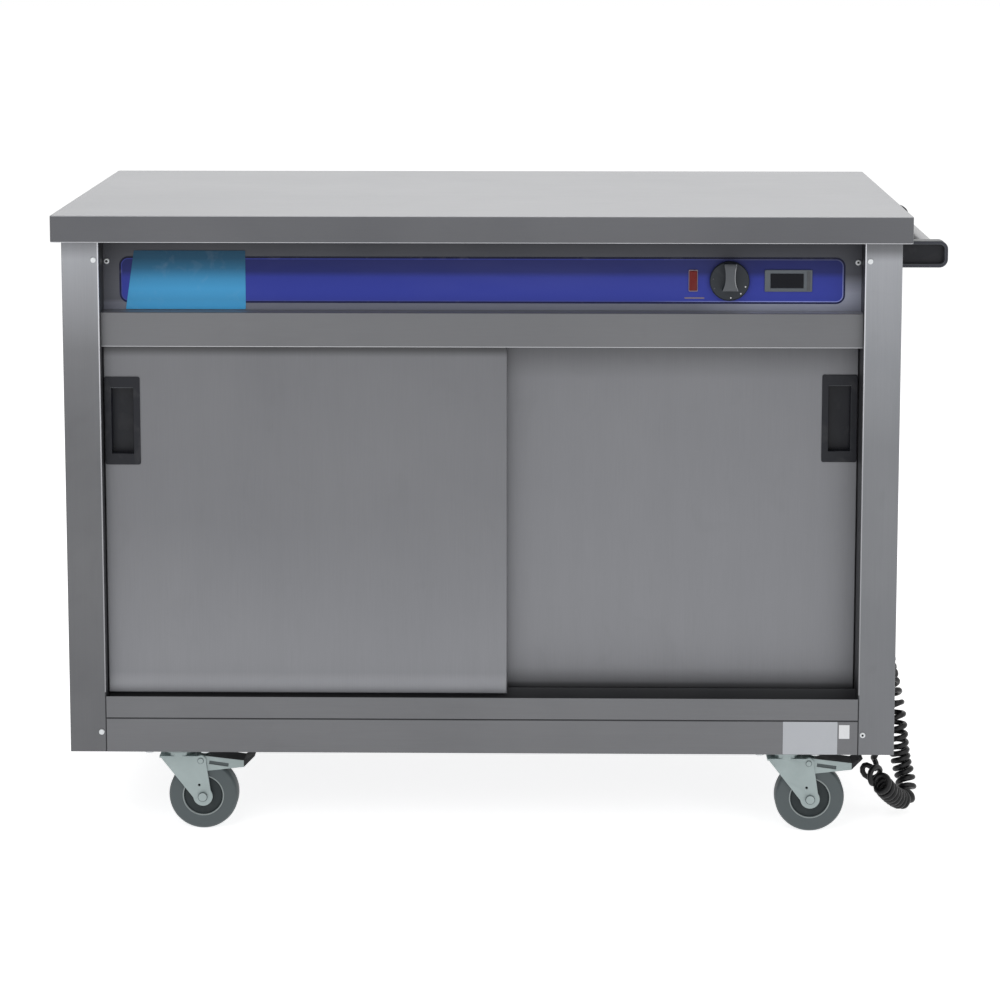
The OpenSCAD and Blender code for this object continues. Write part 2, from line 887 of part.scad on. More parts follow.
// Front bracket, with a pocket in its outer face and a socket for the bar
module bracket() {
    y = bracket_ys[0];
    difference() {
        upright(y, bracket_t) bracket_outline(0);
        upright(y - cut, pocket_depth + cut) bracket_outline(bracket_wall);
        rod_y([bar_x, y + bracket_t - socket_depth, bar_z], bar_d / 2 + run_fit, socket_depth + cut);
        for (up = [-1, 1]) {
            rod_x([body_x - cut, y + pocket_depth / 2, bracket_top - bracket_h / 2 + up * bracket_h / 4],
                screw_r + hole_fit, bracket_wall + 2 * cut);
        }
    }
}

module handle_brackets() {
    middle_y = (post_y + back_y) / 2;
    placed("darkslategray") {
        bracket();
        translate([0, middle_y, 0]) mirror([0, 1, 0]) translate([0, -middle_y, 0]) bracket();
    }
}

// Fixings

// Screw along +Y with its head in front of the given point
module screw(length) {
    rod_y([0, -screw_head_h, 0], screw_head_r, screw_head_h);
    rod_y([0, -screw_head_h / 2, 0], screw_r, length + screw_head_h / 2);
}

module castor_bolt() {
    translate([0, 0, plate_bottom - bolt_head_h]) cylinder(r = bolt_head_r, h = bolt_head_h);
    translate([0, 0, plate_bottom - bolt_head_h / 2])
        cylinder(r = bolt_d / 2, h = plate_t + sheet + nut_h + bolt_head_h / 2);
    translate([0, 0, base_top]) cylinder(r = bolt_head_r, h = nut_h);
}

module fixings() {
    placed("silver") {
        both_ends() {
            for (p = post_screws) translate([p[0], post_y, p[1]]) screw(screw_l);
            for (p = back_screws) {
                translate([p[0], back_y, p[1]]) rotate([0, 0, 180]) screw(2 * sheet + seam);
            }
            translate([fascia_rivet[0], fascia_y, fascia_rivet[1]]) screw(screw_l);
        }
        for (p = handle_screws) {
            translate([body_x + bracket_wall, p[0], p[1]]) rotate([0, 0, 90]) screw(bracket_wall + screw_l);
        }
        for (p = holder_screws) {
            translate([body_x + holder_seat, p[0], p[1]]) rotate([0, 0, 90]) screw(holder_seat + sheet);
        }
        for (c = castor_places, b = bolt_places) translate([c[0] + b[0], c[1] + b[1], 0]) castor_bolt();
    }
}

// Castors

// Top plate with its ring and the kingpin that the fork turns on
module castor_plate() {
    pin_bottom = crown_top - fork_t - turn_gap - kingpin_head_h;
    translate([0, 0, plate_bottom]) linear_extrude(plate_t) difference() {
        rounded([plate_l, plate_w], bolt_margin / 2);
        for (b = bolt_places) translate(b) circle(bolt_d / 2 + hole_fit);
    }
    translate([0, 0, ring_bottom]) cylinder(r = cup_ring_r, h = cup_ring_h + plate_t / 2);
    translate([0, 0, pin_bottom]) cylinder(r = kingpin_r, h = plate_bottom - pin_bottom);
    translate([0, 0, pin_bottom]) cylinder(r = kingpin_head_r, h = kingpin_head_h);
}

module castor_plates() {
    placed("lightsteelblue") for (c = castor_places) translate([c[0], c[1], 0]) castor_plate();
}

// Sets a castor's piece at its swivel axis
module at_castor(i) {
    translate([castor_places[i][0], castor_places[i][1], 0]) children();
}

// Side of the fork about the axle, with an ear for the brake pedal
module fork_outline() {
    top = crown_top - wheel_r;
    foot_in = edge_in_share * foot_r;
    polygon([
        [-castor_trail - fork_rear, top],
        [-foot_in * cos(foot_angle), -foot_in * sin(foot_angle)],
        [foot_in, 0],
        [pivot_x + edge_in_share * ear_r, pivot_z],
        [pivot_x, top]
    ]);
    circle(foot_r);
    translate([pivot_x, pivot_z]) circle(ear_r);
}

module fork_sides() {
    for (y = [-fork_out, fork_y]) upright(y, fork_t) difference() {
        fork_outline();
        circle(axle_d / 2 + run_fit);
        translate([pivot_x, pivot_z]) circle(pivot_r + run_fit);
        translate(foot_r * weld_hole_shares) circle(weld_hole_r);
    }
}

// Axle bolt with its head in front and its nut behind
module axle_bolt() {
    rod_y([0, -fork_out - axle_head_h, 0], axle_head_r, axle_head_h);
    rod_y([0, -fork_out - axle_head_h / 2, 0], axle_d / 2, 2 * fork_out + axle_head_h);
    rod_y([0, fork_out, 0], axle_head_r, axle_head_h);
}

// Fork with its crown round the kingpin, and the axle bolt
module castor_fork(i) {
    placed("lightsteelblue") at_castor(i) {
        difference() {
            union() {
                box([-fork_rear, -fork_out, crown_top - fork_t], [crown_front, fork_out, crown_top]);
                translate([0, 0, crown_top - fork_t]) cylinder(r = race_r, h = race_h + fork_t);
                translate([castor_trail, 0, wheel_r]) fork_sides();
            }
            translate([0, 0, crown_top - fork_t - cut])
                cylinder(r = kingpin_r + run_fit, h = race_h + fork_t + 2 * cut);
        }
        translate([castor_trail, 0, wheel_r]) axle_bolt();
    }
}

// Turns a profile of radius and width about the axle
module wheel_turned() {
    translate([castor_trail, 0, wheel_r]) rotate([90, 0, 0]) rotate_extrude() children();
}

module castor_tyre(i) {
    crown_r = tyre_w / 8;
    placed("dimgray") at_castor(i) wheel_turned() {
        strip([hub_d / 2 + run_fit, -tyre_w / 2], [wheel_r - crown_r, tyre_w / 2]);
        strip([wheel_r - 2 * crown_r, -tyre_w / 2 + crown_r], [wheel_r, tyre_w / 2 - crown_r]);
        for (side = [-1, 1]) translate([wheel_r - crown_r, side * (tyre_w / 2 - crown_r)]) circle(crown_r);
    }
}

// Hub with a sunk web on each face and a boss between the fork's sides
module castor_hub(i) {
    bore_r = axle_d / 2 + run_fit;
    placed("darkslategray") at_castor(i) wheel_turned() {
        strip([hub_d / 2 - hub_rim, -tyre_w / 2], [hub_d / 2, tyre_w / 2]);
        strip([bore_r, -tyre_w / 2 + hub_sink], [hub_d / 2, tyre_w / 2 - hub_sink]);
        strip([bore_r, -tyre_w / 2 - boss_out], [boss_r, tyre_w / 2 + boss_out]);
    }
}

// Side of a pedal about its pivot, with a pressed slot
module pedal_outline() {
    metal_l = pedal_l - pad_l;
    ear_in = edge_in_share * ear_r;
    difference() {
        union() {
            circle(ear_r);
            polygon([[0, ear_in], [metal_l, 0], [metal_l, -pad_h], [ear_r, -2 * ear_r], [-ear_in, 0]]);
        }
        translate(press_at) rotate(-pedal_slope) square(press_size, center = true);
    }
}

// Brake pedal: two cheeks inside the fork, rivets in its ears, a web and a tread pad
module castor_pedal(i) {
    metal_l = pedal_l - pad_l;
    web_start = ear_r + pedal_clear;
    web_top = edge_in_share * ear_r * (1 - web_start / metal_l) - pedal_gap;
    rivet_y = fork_out + pedal_gap;
    stub_l = rivet_y + rivet_head_h - pedal_y;
    placed("lightsteelblue") at_castor(i) translate([castor_trail + pivot_x, 0, wheel_r + pivot_z]) {
        for (y = [-pedal_y - pedal_t, pedal_y]) upright(y, pedal_t) pedal_outline();
        for (y = [-rivet_y - rivet_head_h, pedal_y]) rod_y([0, y, 0], pivot_r, stub_l);
        for (y = [-rivet_y - rivet_head_h, rivet_y]) rod_y([0, y, 0], rivet_r, rivet_head_h);
        upright(-pedal_y - cut, 2 * pedal_y + 2 * cut) polygon([
            [web_start, web_top], [metal_l, -pedal_gap],
            [metal_l, -pedal_t - pedal_gap], [web_start, web_top - pedal_t]
        ]);
        upright(-pedal_y - pedal_t, 2 * pedal_y + 2 * pedal_t) polygon([
            [metal_l, -pad_h], [metal_l, 0], [pedal_l - pedal_t, ear_r], [pedal_l, ear_r - pedal_t]
        ]);
    }
}

// Doors

// Sets a door's piece at the lower left corner of the door's face: the left door runs in front
module at_door(side) {
    x = side == 0 ? -open_x + door_side : open_x - door_side - door_w;
    translate([x, door_ys[side], sill_top]) children();
}

// Middle of a door's pull, from the door's left edge
function pull_x(side) = side == 0 ? pull_in + pull_w / 2 : door_w - pull_in - pull_w / 2;

// Folded pan with a slot for the guide fin and an opening for the pull
module door_panel(side) {
    slot_y = door_t / 2 - sheet / 2 - slot_play;
    slot_size = [door_w + 2 * cut, sheet + 2 * slot_play, fin_up + slot_rise + cut];
    hole = [cup_w + 2 * cup_wall + 2 * seam, cup_h + 2 * cup_wall + 2 * seam];
    placed("darkgray") at_door(side) difference() {
        cube([door_w, door_t, door_h]);
        box([sheet, sheet, sheet], [door_w - sheet, door_t + cut, door_h - sheet]);
        translate([-cut, slot_y, -cut]) cube(slot_size);
        translate([pull_x(side), 0, pull_up]) upright(-cut, sheet + 2 * cut) square(hole, center = true);
    }
}

module door_liner(side) {
    edge = sheet + seam;
    placed("silver") at_door(side)
        box([edge, door_t - sheet, edge], [door_w - edge, door_t, door_h - edge]);
}

// Flush pull: a flange on the door's face and a cup behind it
module door_pull(side) {
    outer = [cup_w + 2 * cup_wall, cup_h + 2 * cup_wall];
    placed("black") at_door(side) translate([pull_x(side), 0, pull_up]) difference() {
        union() {
            upright(-pull_t, pull_t) rounded([pull_w, pull_h], pull_r);
            upright(-pull_t / 2, pull_t / 2 + cup_depth + cup_wall) square(outer, center = true);
        }
        upright(-pull_t - cut, pull_t + cut + cup_depth) square([cup_w, cup_h], center = true);
    }
}

// Places of a door's two hangers along the door
hanger_xs = [hanger_in, door_w - hanger_in];

// Angle plate on the door's top edge, with the roller's pin
module hanger() {
    roller_up = roller_z - door_top;
    translate([0, door_t / 2, door_h]) {
        box([-hanger_w / 2, -leg_y - hanger_t, 0], [hanger_w / 2, leg_y, hanger_t]);
        box([-hanger_w / 2, -leg_y - hanger_t, 0], [hanger_w / 2, -leg_y, roller_up + pin_d]);
        rod_y([0, -leg_y - hanger_t / 2, roller_up], pin_d / 2, 2 * leg_y + hanger_t / 2 + pin_head_t / 2);
        rod_y([0, leg_y, roller_up], pin_head_r, pin_head_t);
    }
}

module door_hangers(side) {
    placed("silver") at_door(side) for (x = hanger_xs) translate([x, 0, 0]) hanger();
}

// Grooved roller that runs on the rail's edge
module door_roller(side, i) {
    groove = sheet / 2 + side_play;
    bore_r = pin_d / 2 + run_fit;
    placed("ivory") at_door(side) translate([hanger_xs[i], door_t / 2, roller_z - sill_top])
        rotate([90, 0, 0]) rotate_extrude() {
            strip([bore_r, -roller_y], [tread_r, roller_y]);
            for (z = [-roller_y, groove]) strip([bore_r, z], [flange_r, z + flange_t]);
        }
}

// Mains lead

// Gland through the base tray with its lock nut inside
module cable_gland() {
    placed("black") translate([gland_x, gland_y, 0]) difference() {
        union() {
            translate([0, 0, base_h - gland_l]) cylinder(d = gland_d, h = gland_l);
            translate([0, 0, base_h - cut]) cylinder(r = gland_thread_r, h = sheet + gland_nut_h + cut);
            translate([0, 0, base_top]) cylinder(r = gland_nut_r, h = gland_nut_h);
        }
        translate([0, 0, base_h]) cylinder(d = cord_d, h = sheet + gland_nut_h + cut);
    }
}

// Point of the route at a place between its rows: the middle line, the curls so far and the swell
function route_at(u) =
    let (
        last = len(cord_route) - 1,
        k = min(floor(u), last - 1),
        f = u - k,
        a = cord_route[max(k - 1, 0)],
        b = cord_route[k],
        c = cord_route[k + 1],
        d = cord_route[min(k + 2, last)],
        straight = b[4] == 0 && c[4] == 0,
        slope = (c - a) / 2,
        bend = (2 * a - 5 * b + 4 * c - d) / 2,
        twist = (3 * b - a - 3 * c + d) / 2,
        curve = b + f * slope + f * f * bend + f * f * f * twist,
        ease = f * f * (3 - 2 * f),
        swell = b[4] + ease * (c[4] - b[4])
    )
    straight ? b + f * (c - b) : [curve[0], curve[1], curve[2], curve[3], swell];

function middle(row) = [row[0], row[1], row[2]];
function unit(v) = v / norm(v);

// Direction from the route's middle line to the cord at a place along it
function radial_at(u) =
    let (
        step = 1 / 50,
        ahead = middle(route_at(min(u + step, len(cord_route) - 1))),
        behind = middle(route_at(max(u - step, 0))),
        along = unit(ahead - behind),
        across = unit(cross([0, 1, 0], along)),
        turn = 360 * route_at(u)[3]
    )
    cos(turn) * across + sin(turn) * cross(along, across);

function cord_point(u) = middle(route_at(u)) + route_at(u)[4] * coil_r * radial_at(u);

// Places of the cord's rings along the route: so many to a curl, and a few on the straight leads
cord_us = [
    for (k = [0 : len(cord_route) - 2])
        let (
            curls = cord_route[k + 1][3] - cord_route[k][3],
            n = max(lead_rings, round(rings_per_curl * curls))
        )
        for (j = [0 : n - 1]) k + j / n,
    len(cord_route) - 1
];
cord_points = [for (u = cord_us) cord_point(u)];

// Ring of the tube, square to the cord at that place
function cord_ring(i) =
    let (
        last = len(cord_points) - 1,
        along = unit(cord_points[min(i + 1, last)] - cord_points[max(i - 1, 0)]),
        radial = radial_at(cord_us[i]),
        out = unit(radial - (radial * along) * along),
        side = cross(along, out)
    )
    [for (j = [0 : cord_sides - 1]) let (a = 360 * j / cord_sides)
        cord_points[i] + cord_d / 2 * (cos(a) * out + sin(a) * side)];

// Curly cord as one tube, with its least gap to itself printed
module curly_cord() {
    last = len(cord_points) - 1;
    rings = [for (i = [0 : last]) each cord_ring(i)];
    walls = [
        for (i = [0 : last - 1], j = [0 : cord_sides - 1])
            let (k = (j + 1) % cord_sides, p = i * cord_sides, q = p + cord_sides)
            each [[p + j, q + j, q + k], [p + j, q + k, p + k]]
    ];
    near_end = [for (j = [1 : cord_sides - 2]) [0, j, j + 1]];
    far = last * cord_sides;
    far_end = [for (j = [1 : cord_sides - 2]) [far, far + j + 1, far + j]];
    apart = rings_per_curl - 2;
    least = min([
        for (i = [0 : last - apart], j = [i + apart : last]) norm(cord_points[i] - cord_points[j])
    ]);
    echo(cord_gap = least - cord_d);
    echo(cord_length = length_to(last));
    color("black") polyhedron(points = rings, faces = concat(near_end, walls, far_end), convexity = 10);
}

// Length of the cord up to one of its points
function length_to(i) = i == 0 ? 0 : norm(cord_points[i] - cord_points[i - 1]) + length_to(i - 1);

// Three pins of a plug, or the slots that take them with a clearance
module plug_pins(clear, length) {
    grow = 2 * clear;
    for (side = [-1, 1]) {
        translate([0, side * pins_y_share * plug_w, pins_z_share * plug_h])
            rotate([0, 90, 0]) linear_extrude(length) square([pin_t + grow, pin_w + grow], center = true);
    }
    translate([0, 0, earth_z_share * plug_h])
        rotate([0, 90, 0]) linear_extrude(length) square([earth_t + grow, earth_w + grow], center = true);
}

// Plug parked with its pins in the holder and its cord entry at the bottom
module mains_plug() {
    placed("black") translate([plug_x, plug_y, plug_z]) {
        rotate([90, 0, 90]) linear_extrude(plug_t) translate([0, plug_h / 2])
            rounded([plug_w, plug_h], plug_corner);
        translate([-pin_l, 0, 0]) plug_pins(0, pin_l + cut);
    }
}

// Holder on the end panel with three blind slots
module plug_holder() {
    rim_w = plug_w + 2 * holder_rim;
    rim_h = plug_h + 2 * holder_rim;
    placed("darkslategray") difference() {
        translate([body_x, plug_y, plug_z + plug_h / 2]) rotate([90, 0, 90]) linear_extrude(holder_d)
            rounded([rim_w, rim_h], plug_corner);
        translate([body_x + holder_base, plug_y, plug_z]) plug_pins(pin_fit, holder_d);
        for (p = holder_screws) {
            rod_x([body_x - cut, p[0], p[1]], screw_r + hole_fit, holder_d + 2 * cut);
            rod_x([body_x + holder_seat, p[0], p[1]], screw_head_r + hole_fit, holder_d);
        }
    }
}

worktop();
left_end_panel();
right_end_panel();
back_panel();
base_tray();
plinth();
door_sill();
door_header();
control_fascia();
fascia_overlay();
door_track();
cavity_left_wall();
cavity_right_wall();
cavity_back_wall();
cavity_ceiling();
cavity_floor();
mid_shelf();
shelf_rails();
insulation();
heating_elements();
thermostat();
indicator_lamp();
temperature_display();
terminal_block();
handle_bar();
handle_brackets();
fixings();
castor_plates();
cable_gland();
curly_cord();
mains_plug();
plug_holder();
door_panel(0);  // left_door_panel
door_liner(0);  // left_door_liner
door_pull(0);  // left_door_pull
door_hangers(0);  // left_door_hangers
door_roller(0, 0);  // left_door_roller_1
door_roller(0, 1);  // left_door_roller_2
door_panel(1);  // right_door_panel
door_liner(1);  // right_door_liner
door_pull(1);  // right_door_pull
door_hangers(1);  // right_door_hangers
door_roller(1, 0);  // right_door_roller_1
door_roller(1, 1);  // right_door_roller_2
thermostat_knob();
thermostat_spindle();
castor_fork(0);  // front_left_fork
castor_tyre(0);  // front_left_tyre
castor_hub(0);  // front_left_hub
castor_pedal(0);  // front_left_pedal
castor_fork(1);  // front_right_fork
castor_tyre(1);  // front_right_tyre
castor_hub(1);  // front_right_hub
castor_pedal(1);  // front_right_pedal
castor_fork(2);  // rear_left_fork
castor_tyre(2);  // rear_left_tyre
castor_hub(2);  // rear_left_hub
castor_fork(3);  // rear_right_fork
castor_tyre(3);  // rear_right_tyre
castor_hub(3);  // rear_right_hub
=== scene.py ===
"""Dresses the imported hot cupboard: folded sheets, doors, controls, castors, curly lead, finishes and studio."""

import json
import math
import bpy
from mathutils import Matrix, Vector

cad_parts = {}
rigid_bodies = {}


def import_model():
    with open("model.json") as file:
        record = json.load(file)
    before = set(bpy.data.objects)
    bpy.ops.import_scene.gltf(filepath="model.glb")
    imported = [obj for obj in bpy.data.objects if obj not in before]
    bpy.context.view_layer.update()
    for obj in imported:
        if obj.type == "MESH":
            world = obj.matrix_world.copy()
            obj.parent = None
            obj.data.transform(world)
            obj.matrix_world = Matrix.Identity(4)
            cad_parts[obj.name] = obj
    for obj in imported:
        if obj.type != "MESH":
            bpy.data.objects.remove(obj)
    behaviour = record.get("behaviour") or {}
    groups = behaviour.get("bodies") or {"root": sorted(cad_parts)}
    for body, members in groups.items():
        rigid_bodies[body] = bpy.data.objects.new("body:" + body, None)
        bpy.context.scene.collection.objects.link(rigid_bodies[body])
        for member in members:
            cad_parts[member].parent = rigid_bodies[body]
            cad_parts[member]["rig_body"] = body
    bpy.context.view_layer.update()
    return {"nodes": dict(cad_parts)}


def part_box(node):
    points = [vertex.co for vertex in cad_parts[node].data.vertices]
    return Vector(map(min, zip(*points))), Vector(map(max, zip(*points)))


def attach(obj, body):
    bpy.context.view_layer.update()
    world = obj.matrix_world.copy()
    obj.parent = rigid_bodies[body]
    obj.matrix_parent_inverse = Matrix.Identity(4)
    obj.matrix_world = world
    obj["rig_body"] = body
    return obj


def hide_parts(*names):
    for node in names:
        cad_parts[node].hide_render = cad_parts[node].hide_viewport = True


bl_info = {
    "name": "Hot Cupboard",
    "version": (1, 0, 0),
    "blender": (4, 5, 0),
    "location": "View3D > Sidebar > Cupboard",
    "description": "Builds the dressed pieces, finishes and studio of a mobile hot cupboard over its packed frame",
    "category": "Object",
}

import bmesh
import bpy
from bpy.props import FloatProperty, FloatVectorProperty, PointerProperty
from mathutils import Matrix, Vector

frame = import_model()

MM = 0.001
SIDES = ("left", "right")
CASTORS = ("front_left", "front_right", "rear_left", "rear_right")
# Turns a piece's own up towards the front
FRONT = Matrix.Rotation(math.radians(90), 4, "X")
# Distances in metres within which vertices merge, and an edge counts as lying in a plane
MERGE = 1e-6
IN_PLANE = 2e-5

# Spans of the frame over which finishes change tone, in metres: ramps of painted light and shade, a painted pool of
# light, and the film line's fade on the left
POST_Z = (0.128, 0.87)
DOOR_Z = (0.209, 0.711)
FASCIA_Z = (0.76, 0.868)
FILM_Z = (0.770, 0.836)
LINE_Z = (0.772, 0.834)
LABEL_Z = (0.765, 0.848)
FOLD_Z = (0.2, 0.86)
WALL_Y = (-0.315, -0.215)
LEDGE_X = (-0.56, 0.5)
LINE_X = (0.2, 0.35)
# Edges over which the fascia's painted pool of light fades in at its lower right
LIT_X = (0.27, 0.35)
LIT_Z = (0.812, 0.785)


def tint(code):
    """Screen colour of a code such as 77787b."""
    return tuple(int(code[i : i + 2], 16) / 255 for i in (0, 2, 4))


def linear(colour, share=1.0):
    """Screen colour as the shader's light values, times a share."""
    values = [c / 12.92 if c <= 0.04045 else ((c + 0.055) / 1.055) ** 2.4 for c in colour]
    return tuple(min(1.0, v * share) for v in values) + (1.0,)


def tones(colour, *pairs):
    """Ramp stops of one colour, from pairs of a place and a share of its light."""
    return [(place, linear(colour, share)) for place, share in pairs]


def colour_of(name, code, use):
    """Colour property with its default."""
    return FloatVectorProperty(
        name=name, description=use, subtype="COLOR_GAMMA", size=3, min=0, max=1, default=tint(code)
    )


def length_of(name, default, use):
    """Length property with its default in metres."""
    return FloatProperty(name=name, description=use, default=default, min=0, unit="LENGTH", precision=5)


class CupboardColours(bpy.types.PropertyGroup):
    """Colours of the cupboard's finishes."""

    # The worktop's top is a lit copy and its edge a shaded copy of one steel: painted light and shade
    worktop: colour_of("Worktop", "a6a7aa", "Satin sheet of the worktop")
    worktop_edge: colour_of("Worktop edge", "5b5c60", "Edge of the worktop")
    body: colour_of("Body", "696a6d", "Sheets of the cabinet")
    # The posts are one steel: a shaded copy on the left, a lit copy on the right, and a painted highlight near the
    # worktop
    left_post: colour_of("Left post", "5f6063", "Left post and end panel")
    right_post: colour_of("Right post", "737579", "Right post and end panel")
    post_top: colour_of("Post top", "9b9da2", "Posts near the worktop")
    # The doors' finishes add ramps of painted light and shade
    door: colour_of("Door", "747579", "Sheets of the doors")
    # The fascia's finish adds the worktop's painted shadow, painted light at its foot and a painted pool of light
    fascia: colour_of("Fascia", "494b54", "Sheet behind the controls")
    # Painted highlight on the folds and edges of the sheets
    fold: colour_of("Fold", "b9babe", "Bright folds and edges of the sheets")
    # Painted shade in seams, channels, gaps and the posts' returns
    shade: colour_of("Shade", "28292d", "Grimed seams and channels")
    inner: colour_of("Inside", "9a9b9c", "Sheets of the heated cavity")
    # The film and its line darken upwards with the worktop's painted shadow
    film: colour_of("Film", "2c3792", "Printed film on the fascia")
    film_line: colour_of("Film line", "8f98e0", "Line printed inside the film's edge")
    knob: colour_of("Knob", "272c32", "Moulded thermostat knob")
    # Painted light on the knob grip's face, the pull cups and the handle brackets' tops and rims, painted shade on the
    # knob's left dots, and the display's keys
    grip: colour_of("Grip", "505357", "Grip of the thermostat knob")
    # Painted highlight along the edge of the knob's grip
    pale: colour_of("Pale", "9a9c9f", "Pointer line of the knob")
    white: colour_of("White", "dfe0e2", "Dots of the knob and the small plate")
    lens: colour_of("Lens", "6a1b18", "Lens of the indicator lamp")
    lamp_rim: colour_of("Lamp rim", "8a7a82", "Rim of the indicator lamp")
    display: colour_of("Display", "5c6268", "Bezel of the temperature display")
    window: colour_of("Window", "14161c", "Window of the temperature display")
    # Also painted shade in the sunk faces of the handle brackets
    pull: colour_of("Pull", "11131b", "Flush pulls of the doors")
    plastic: colour_of("Dark plastic", "363740", "Handle brackets and plug holder")
    black: colour_of("Black plastic", "1c1d20", "Gland, plug, thermostat and pads of the pedals")
    bar: colour_of("Bar", "a0a0a2", "Bar of the push handle")
    zinc: colour_of("Zinc", "9fabab", "Plated forks, plates and pedals")
    screw: colour_of("Screw", "d8dbdd", "Plated screws and rivets")
    # Also painted shade on the rims of the forks and pedals and in the pedals' slots
    tyre: colour_of("Tyre", "4c5456", "Grey tyres")
    hub: colour_of("Hub", "283032", "Moulded hubs")
    ring: colour_of("Ring", "98a0a0", "Light rim of the hubs")
    cord: colour_of("Cord", "0f0f11", "Curly mains cord")
    # The label's finish darkens upwards with the worktop's painted shadow
    label: colour_of("Label", "357aa3", "Blank label on the fascia")
    plate: colour_of("Plate", "b0b3b8", "Blank plate on the plinth")
    nylon: colour_of("Nylon", "dcdcd4", "Rollers and terminal block")
    wool: colour_of("Wool", "c4b98c", "Insulation slabs")
    element: colour_of("Element", "4a4643", "Heating elements")


class CupboardSizes(bpy.types.PropertyGroup):
    """Small sizes that only the dressed pieces have."""

    worktop_fold: length_of("Worktop fold", 1.8 * MM, "Radius of the worktop's upper fold")
    # The bright hem is a painted highlight
    worktop_hem: length_of("Worktop hem", 6.0 * MM, "Width of the bright hem under the worktop's edge")
    sheet_fold: length_of("Sheet fold", 1.6 * MM, "Radius of the folds of posts and doors")
    mould_edge: length_of("Moulded edge", 0.8 * MM, "Rounding of moulded edges")
    zinc_edge: length_of("Plated edge", 0.5 * MM, "Rounding of the castors' pressed edges")
    film_inset: length_of("Film line inset", 2.6 * MM, "Distance of the printed line from the film's edge")
    film_line: length_of("Film line width", 1.4 * MM, "Width of the printed line")
    film_corner: length_of("Film corner", 13.0 * MM, "Radius of the film's corners")
    cord_radius: length_of("Cord radius", 4.0 * MM, "Radius of the curly cord")
    coil_radius: length_of("Curl radius", 11.5 * MM, "Radius of the cord's curls")


# Finishes


class Finish:
    """Node material whose patterns read Object coordinates."""

    def __init__(self, name):
        self.material = bpy.data.materials.new(name)
        self.material.use_nodes = True
        self.tree = self.material.node_tree
        self.shader = self.tree.nodes["Principled BSDF"]
        self.place = self.node("ShaderNodeTexCoord", {}).outputs["Object"]

    def feed(self, socket, value):
        """Links a socket, or sets its value."""
        if isinstance(value, bpy.types.NodeSocket):
            self.tree.links.new(value, socket)
        else:
            socket.default_value = value

    def node(self, kind, inputs, **settings):
        """New node with its settings and its inputs, by name or number."""
        made = self.tree.nodes.new(kind)
        for key, value in settings.items():
            setattr(made, key, value)
        for key, value in inputs.items():
            self.feed(made.inputs[key], value)
        return made

    def give(self, **values):
        """Sets the shader's sockets, named with underscores."""
        for key, value in values.items():
            self.feed(self.shader.inputs[key.replace("_", " ")], value)

    def noise(self, scale, stretch=(1, 1, 1), detail=3.0, distortion=0.0):
        """Noise over the piece, stretched along its axes."""
        place = self.node("ShaderNodeMapping", {"Vector": self.place, "Scale": stretch}).outputs[0]
        inputs = {"Vector": place, "Scale": scale, "Detail": detail, "Distortion": distortion}
        return self.node("ShaderNodeTexNoise", inputs).outputs[0]

    def along(self, axis):
        """Place along an axis, in metres."""
        return self.node("ShaderNodeSeparateXYZ", {0: self.place}).outputs[axis]

    def span(self, *values):
        """Value carried from one span to another: the value, low, high, new low and new high."""
        return self.node("ShaderNodeMapRange", dict(enumerate(values))).outputs[0]

    def sum(self, first, second, operation="ADD"):
        """Sum of two values, or another operation on them."""
        return self.node("ShaderNodeMath", {0: first, 1: second}, operation=operation).outputs[0]

    def mix(self, share, first, second):
        """Colour between two, by the share of the second."""
        return self.node("ShaderNodeMix", {0: share, 6: first, 7: second}, data_type="RGBA").outputs[2]

    def toned(self, tone, axis, span):
        """One colour as it is, or ramp stops spread over a span of an axis."""
        if not isinstance(tone, list):
            return tone
        made = self.node("ShaderNodeValToRGB", {0: self.span(self.along(axis), *span, 0.0, 1.0)})
        elements = made.color_ramp.elements
        while len(elements) < len(tone):
            elements.new(0.5)
        for element, (position, colour) in zip(elements, tone):
            element.position = position
            element.color = colour
        return made.outputs[0]

    def bump(self, height, strength, distance):
        """Fine relief of the surface."""
        inputs = {"Strength": strength, "Distance": distance, "Height": height}
        self.give(Normal=self.node("ShaderNodeBump", inputs).outputs[0])


# Stretch of a pattern that runs along an axis
GRAIN = {"X": (0.02, 1, 1), "Y": (1, 0.02, 1), "Z": (1, 1, 0.02)}


def steel(name, tone, grain="X", axis="Z", span=(0.0, 1.0), metallic=0.45, rough=0.42, marks=0.05, lit=None):
    """Satin stainless of one tone or of painted light and shade ramps: brushed grain, handling marks and a painted lit
    lower right.
    """
    finish = Finish(name)
    tone = finish.toned(tone, axis, span)
    if lit:
        across = finish.span(finish.along("X"), *LIT_X, 0.0, 1.0)
        down = finish.span(finish.along("Z"), *LIT_Z, 0.0, 1.0)
        tone = finish.mix(finish.sum(across, down, "MULTIPLY"), tone, lit)
    brushed = finish.noise(900, GRAIN[grain], 2.0)
    streaks = finish.noise(40, GRAIN[grain], 3.0)
    clouds = finish.noise(3.4, detail=4.0, distortion=0.4)
    scuffs = finish.noise(14, detail=6.0, distortion=1.2)
    tone = finish.mix(finish.span(brushed, 0.3, 0.7, 0.0, 0.04), tone, (0.02, 0.02, 0.02, 1))
    tone = finish.mix(finish.span(streaks, 0.35, 0.7, 0.0, marks * 0.6), tone, (0.05, 0.05, 0.052, 1))
    tone = finish.mix(finish.span(clouds, 0.35, 0.7, 0.0, marks), tone, (0.5, 0.5, 0.51, 1))
    tone = finish.mix(finish.span(scuffs, 0.60, 0.78, 0.0, marks), tone, (0.04, 0.04, 0.042, 1))
    gloss = finish.sum(finish.span(brushed, 0.3, 0.7, -0.02, 0.03), finish.span(clouds, 0.3, 0.7, -0.04, 0.04))
    finish.give(Base_Color=tone, Metallic=metallic, Roughness=finish.sum(gloss, rough))
    finish.bump(brushed, 0.04, 0.0002)
    return finish.material


